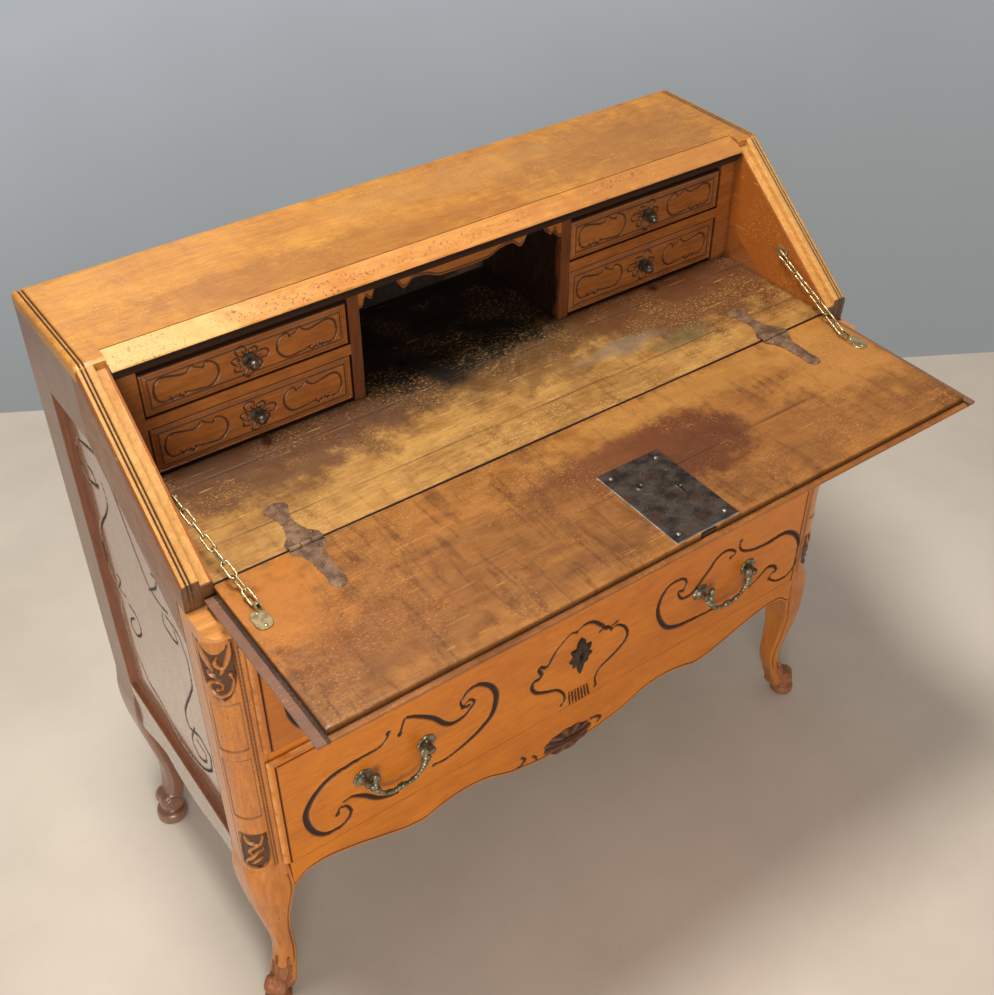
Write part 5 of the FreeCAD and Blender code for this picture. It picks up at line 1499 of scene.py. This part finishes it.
def lock_plate():
    left, right, near, far = LOCK
    u, d = np.meshgrid(np.linspace(left, right, 99), np.linspace(near, far, 150))
    edge = np.minimum(np.minimum(u - left, right - u), np.minimum(d - near, far - d))
    hole = np.hypot(u - PIN_HOLE[0], d - PIN_HOLE[1])
    slot_u, slot_d = np.abs(u - KEY_SLOT[0]), np.abs(d - KEY_SLOT[1])
    slot = (slot_u < 1.6) & (slot_d < 9)
    rim = (slot_u < 3.2) & (slot_d < 11) & ~slot
    ridge = bell(d - 574 - 0.25 * (u - 30), 1.6) * (np.abs(u - 34) < 26)
    z = BOARD + 0.5 - np.where(edge < 0.8, 0.4, 0) + 0.25 * np.sin(u * 0.08) * np.sin(d * 0.05 + 1)
    z += 1.4 * bell(hole - 4.6, 1.4) - 0.36 * (hole < 2.6) - 0.36 * slot + 0.5 * rim + 0.7 * ridge
    # A painted highlight along the left and far edges.
    bright = np.clip(1.6 - np.minimum(u - left, far - d), 0, 1) * (0.75 + 0.25 * np.sin(u * 0.21 + d * 0.17))
    bodies = [slab(np.stack([u, d, z], -1), 2, BOARD - 2)]
    for x, y, radius in ((-6, 590, 2.2), (5, 612, 2.0), (30, 536, 2.4), (60, 548, 2.0), (66, 612, 2.2),
                         (18, 600, 1.6), (-12, 548, 1.8)):
        bodies.append(nail_head(x, y, BOARD + 0.6, radius, 0.9))
    # Painted shade in the pin hole and the key slot, and the painted highlight on the edges.
    mesh_piece("lock_plate", joined(*bodies), lock_iron, "lid", "lid_lock_plate", slot="lock_iron",
               cut=(hole < 2.6) | slot, wear_and_highlight=bright)
    heads = [nail_head(x, y, BOARD + 0.4, 3.0, 1.5) for x in (left + LOCK_INSET, right - LOCK_INSET)
             for y in (near + LOCK_INSET, far - LOCK_INSET)]
    mesh_piece("lock_nails", joined(*heads), nail_iron, "lid", "lid_lock_nails", slot="nail_iron")


hinges()
lock_plate()


# Bail handles and escutcheons
BAIL_DEPTH = 474
BAIL_HALF = 50
BAIL_WIDE = 39.4
BAIL_MIDDLE = 300
BAIL_DROP = 42
BAIL_SHARES = ((-1, 0), (-0.97, 0.42), (-0.72, 0.82), (-0.32, 1), (0, 0.97), (0.32, 1), (0.72, 0.82),
               (0.97, 0.42), (1, 0))
BAIL_SWELLS = ((0.13, 2.3, 0.07), (0.87, 2.3, 0.07), (0.5, 1.7, 0.05), (0.36, 1.0, 0.03), (0.64, 1.0, 0.03))
KEY_SIDE = 17
ESCUTCHEON = ((90, 38), (76, 31), (66, 20), (54, 24), (44, 27), (32, 20), (20, 15), (8, 17), (-6, 22),
              (-16, 20), (-28, 15), (-40, 19), (-50, 22), (-60, 19), (-70, 18), (-80, 28), (-90, 38))


def bail(row, word, middle, z):
    path = smooth_path([(middle + BAIL_WIDE * a, BAIL_DEPTH, z - BAIL_DROP * b) for a, b in BAIL_SHARES])
    t = np.linspace(0, 1, len(path))
    radius = 2.9 + sum(swell * bell(t - place, wide) for place, swell, wide in BAIL_SWELLS)
    bodies = [tube(path, radius * (1 + 0.13 * np.sin(t * 150)), 14)]
    for way in (-1, 1):
        end = middle + way * BAIL_WIDE
        bodies.append(lathe([(1.9, 0), (1.9, 13)], (end, BAIL_DEPTH, z), (way, 0, 0), 14))
        turns = np.linspace(0, 1.6 * 2 * np.pi, 40)
        shrink = 1 - turns / turns[-1] * 0.75
        coil = np.stack([end - way * (7 - 7 * np.cos(turns) * shrink) * 0.55 + way * 1.5,
                         np.full(40, BAIL_DEPTH), z + 2 + 7.5 * np.sin(turns) * shrink], 1)
        bodies.append(tube(coil, np.linspace(3.6, 2.2, 40), 10))
        for angle, reach in ((200, 11), (235, 13), (265, 11), (160, 9)):
            out = -way * reach * math.cos(math.radians(angle))
            up = reach * math.sin(math.radians(angle))
            leaf = smooth_path([(end, BAIL_DEPTH, z - 10),
                                (end + out * 0.5, BAIL_DEPTH + 1.6, z - 10 + up * 0.45),
                                (end + out * 0.9, BAIL_DEPTH + 1, z - 10 + up * 0.9)])
            radii = np.interp(np.linspace(0, 1, len(leaf)), [0, 0.5, 1], [2.6, 2.9, 1.0])
            bodies.append(tube(leaf, radii, 8))
    body = f"{row}_bail_{word}"
    mesh_piece(f"bail_{row}_{word}", joined(*bodies), bail_metal, body, body, slot="bail_metal")


def bail_posts(row, z):
    profile = [(13, -0.5), (14, 0.2), (14.6, 1.2), (13.2, 2.4), (10, 2.2), (8, 2.8), (6.2, 4), (5, 6),
               (4.6, 11), (5.4, 13), (5.6, 16), (4.6, 18.4), (2.6, 19.5), (0.5, 19.6)]
    places = [middle + way * BAIL_HALF for middle in (-BAIL_MIDDLE, BAIL_MIDDLE) for way in (-1, 1)]
    posts = [lathe(profile, (x, FACE, z), (0, 1, 0), 48, 8, 0.07) for x in places]
    mesh_piece(f"bail_mounts_{row}", joined(*posts), bail_metal, f"{row}_drawer", f"{row}_drawer_bail_posts",
               slot="bail_metal")


def escutcheon(row, z):
    # A pierced leaf: its outline as reaches at angles, the same on both sides.
    whole = np.array([*ESCUTCHEON, *((-180 - a, r) for a, r in reversed(ESCUTCHEON[:-1]))], float)
    turns = np.radians(whole[:, 0])
    angles = np.linspace(turns[0], turns[-1], 144, endpoint=False)
    reach = np.interp(-angles, -turns, whole[:, 1])
    share = np.array([0.0, 0.12, 0.25, 0.4, 0.55, 0.7, 0.82, 0.92, 1.0])[:, None]
    u = np.maximum(share, 0.01) * reach * np.cos(angles) * 0.98
    v = np.maximum(share, 0.01) * reach * np.sin(angles)
    vein = np.cos(11 * angles)
    hole = (np.hypot(u, v - 2) < 3.6) | ((np.abs(u) < 1.9) & (v > -10) & (v < 2))
    lift = 2.4 + 0.8 * (1 - share ** 2) + 0.54 * vein * share - np.where(share == 1, 0.9, 0)
    rings = np.stack([KEY_SIDE + u, FACE + np.where(hole, 0.7, lift), z + v], -1)
    # Painted shade in the key hole and at the rim where the leaf meets the drawer; the vein hollows are a
    # little darker.
    mesh_piece(f"escutcheon_{row}", loft(grounded(rings, FACE - 1)), key_iron, f"{row}_drawer",
               f"{row}_drawer_key_plate", slot="key_iron", cut=np.where(hole, 1, 0.25 * (1 - vein) * share),
               rest=0.3)


for row, bail_z in (("lower", 405.02), ("upper", 627.11)):
    bail_posts(row, bail_z)
    for side, word in SIDES:
        bail(row, word, side * BAIL_MIDDLE, bail_z)
escutcheon("lower", 408.92)
escutcheon("upper", 630.7)


# Stay chains
EYE = np.array((476, 316, 851.0))
STAY = np.array((459, 466, 797.5))
LINK_HALF = 13.3
LINK_SIDE = 5.6
LINK_WIRE = 1.45
LINKS = 8
FIRST_LINK = 9


def link_path(centre, along, across):
    straight = LINK_HALF - LINK_SIDE
    bend = LINK_SIDE - LINK_WIRE
    path = []
    for way, first in ((1, -90), (-1, 90)):
        for k in range(9):
            a = math.radians(first + 180 * k / 8)
            path.append(centre + along * (way * straight + bend * math.cos(a)) + across * bend * math.sin(a))
    return path


def chain(side, word):
    start = EYE * (side, 1, 1)
    run = STAY * (side, 1, 1) - start
    reach = np.linalg.norm(run)
    along = run / reach
    level = unit(np.array((1.0, 0, 0)) - along * along[0])
    upright = np.cross(along, level)
    pitch = (reach - 2 * FIRST_LINK) / (LINKS - 1)
    links = []
    for k in range(LINKS):
        lean = math.radians(12 * math.sin(2.3 * k))
        across = level * math.cos(lean) + upright * math.sin(lean)
        if k % 2 == 0:
            across = np.cross(along, across)
        centre = start + along * (FIRST_LINK + pitch * k)
        links.append(ring_tube(link_path(centre, along, across), LINK_WIRE))
    for half, bodies in (("upper", links[:LINKS // 2]), ("lower", links[LINKS // 2:])):
        mesh_piece(f"{half}_links_{word}", joined(*bodies), chain_metal, f"chain_{half}_{word}",
                   f"chain_{half}_{word}", slot="chain_brass")


for side, word in SIDES:
    chain(side, word)


# Stay plates on the lid: a rounded plate, two ears and a rivet each
PLATE_MIDDLE = (463.5, 489.5)
PLATE_HALF = (10, 15.5)
PLATE_ROUND = 9
PLATE_TOP = BOARD + 1.4
RIVETS = (479, 500)
EAR_THICK = 1.6
EAR_BACK = 477.2
EAR_ROUND = 3.2


def rounded_plate():
    # Rounded corners and a small bevel on top.
    rings = []
    for inset, z in ((0, BOARD), (0, PLATE_TOP - 0.4), (0.4, PLATE_TOP)):
        ring = []
        for quarter, (way_x, way_d) in enumerate(((1, 1), (-1, 1), (-1, -1), (1, -1))):
            for k in range(7):
                a = math.radians(90 * quarter + 90 * k / 6)
                ring.append((PLATE_MIDDLE[0] + way_x * (PLATE_HALF[0] - PLATE_ROUND)
                             + (PLATE_ROUND - inset) * math.cos(a),
                             PLATE_MIDDLE[1] + way_d * (PLATE_HALF[1] - PLATE_ROUND)
                             + (PLATE_ROUND - inset) * math.sin(a), z))
        rings.append(ring)
    return loft(rings)


def stay_plates():
    bodies = [rounded_plate()]
    for depth in RIVETS:
        bodies.append(lathe([(2.6, 0), (2.6, 0.3), (2.0, 1.0), (0.6, 1.4)],
                            (PLATE_MIDDLE[0], depth, PLATE_TOP - 0.2), count=16))
    for near in (STAY[0] - 3.8, STAY[0] + 2.2):
        bodies.append(box_mesh(near, near + EAR_THICK, STAY[1], EAR_BACK, BOARD + 0.2, STAY[2] + 3.1))
        bodies.append(lathe([(EAR_ROUND - 0.4, 0), (EAR_ROUND, 0.3), (EAR_ROUND, EAR_THICK - 0.3),
                             (EAR_ROUND - 0.4, EAR_THICK)], (near, *STAY[1:]), (1, 0, 0), 20))
    bodies.append(lathe([(0.5, -2.6), (0.9, -2.4), (0.9, 2.4), (0.5, 2.6)], STAY, (1, 0, 0), 12))
    both = [(points * (side, 1, 1), faces) for side, _ in SIDES for points, faces in bodies]
    mesh_piece("stay_plates", joined(*both), chain_metal, "lid", "lid_chain_plates", slot="chain_brass")


stay_plates()


# STAGE
PICTURE = (994, 995)
LENS = 46.286
SENSOR = 36
FLOOR_REACH = 12
LAMP_TINT = (255, 250, 242)
CAMERA_PLACE = (-0.81864, -1.086096, 1.77925)
CAMERA_TURN = (49.8169, -0.0126, -35.5553)
FAR_EDGE = ((0, 413), (993, 352))
camera_matrix = Matrix.LocRotScale(CAMERA_PLACE, Euler([math.radians(a) for a in CAMERA_TURN]), None)


def camera():
    data = bpy.data.cameras.new("camera")
    data.lens = LENS
    data.sensor_width = SENSOR
    obj = bpy.data.objects.new("camera", data)
    obj.matrix_world = camera_matrix
    bpy.context.scene.collection.objects.link(obj)
    bpy.context.scene.camera = obj


def floor_point(px, py):
    # The point of the floor that the camera sees at a pixel.
    focal = LENS / SENSOR * PICTURE[1]
    ray = Vector(((px - PICTURE[0] / 2) / focal, (PICTURE[1] / 2 - py) / focal, -1))
    ray = camera_matrix.to_3x3() @ ray
    start = camera_matrix.translation
    return start + ray * (-start.z / ray.z)


def floor():
    # Its far edge runs through the two pixels of the photo.
    material, n = new_material("floor")
    cloud = n.noise(n.place(), 1.6, 5, 0.6)
    fine = n.noise(n.place(), 30, 4, 0.6)
    tone = n.mix(n.span(cloud, 0.3, 0.7), rgb(214, 203, 189), rgb(230, 219, 205))
    tone = n.lay(tone, (176, 160, 142), n.span(fine, 0.6, 0.75), 0.08)
    n.put(n.out.inputs["Surface"], n.shader(tone, Roughness=0.75).outputs[0])
    far_left, far_right = (floor_point(*pixel) for pixel in FAR_EDGE)
    along = (far_right - far_left).normalized() * FLOOR_REACH
    toward = Vector((along.y, -along.x, 0))
    corners = [far_left - along, far_right + along, far_right + along + toward, far_left - along + toward]
    mesh = bpy.data.meshes.new("floor")
    mesh.from_pydata([tuple(c) for c in corners], [], [(0, 3, 2, 1)])
    obj = bpy.data.objects.new("floor", mesh)
    bpy.context.scene.collection.objects.link(obj)
    dress(obj, material)


def surroundings():
    # A soft light from all sides, and for the camera a wall painted lighter towards the top and the left: a
    # painted fall of light over it.
    world = bpy.data.worlds.new("studio")
    bpy.context.scene.world = world
    world.use_nodes = True
    n = Nodes(world.node_tree, "ShaderNodeOutputWorld")
    sky = n.add("ShaderNodeTexCoord").outputs["Generated"]
    slant = n.add("ShaderNodeVectorMath", {0: sky, 1: (-0.054, 0.305, 0.951)}, operation="DOT_PRODUCT")
    height = n.math("MULTIPLY_ADD", n.noise(sky, 5, 3, 0.5), 0.12, slant.outputs["Value"])
    ends = {"Value": height, "From Min": -0.33, "From Max": 0.01}
    rise = n.math("POWER", n.add("ShaderNodeMapRange", ends).outputs[0], 1.9)
    wall = n.add("ShaderNodeBackground", {0: n.mix(rise, rgb(139, 142, 140), rgb(176, 180, 185))})
    light = n.add("ShaderNodeBackground", {0: rgb(246, 242, 236), 1: 0.3})
    seen = n.add("ShaderNodeLightPath").outputs["Is Camera Ray"]
    n.put(n.out.inputs["Surface"], n.blend(seen, light.outputs[0], wall.outputs[0]))


def lamp(name, place, target, size, power):
    data = bpy.data.lights.new(name, "AREA")
    data.shape = "DISK"
    data.size = size
    data.energy = power
    data.color = rgb(*LAMP_TINT)[:3]
    obj = bpy.data.objects.new(name, data)
    obj.location = place
    obj.rotation_euler = (Vector(target) - Vector(place)).to_track_quat("-Z", "Y").to_euler()
    bpy.context.scene.collection.objects.link(obj)


camera()
floor()
surroundings()
lamp("key_light", (-0.55, 0.1, 3.2), (0, 0, 0.4), 0.7, 64)
lamp("front_light", (-1.9, -2.9, 1.15), (0, 0, 0.5), 1.8, 58)
lamp("glare_light", (0.25, 2.7, 2.4), (-0.2, 0, 0.9), 1.2, 4)
bpy.context.scene.view_settings.view_transform = "Standard"
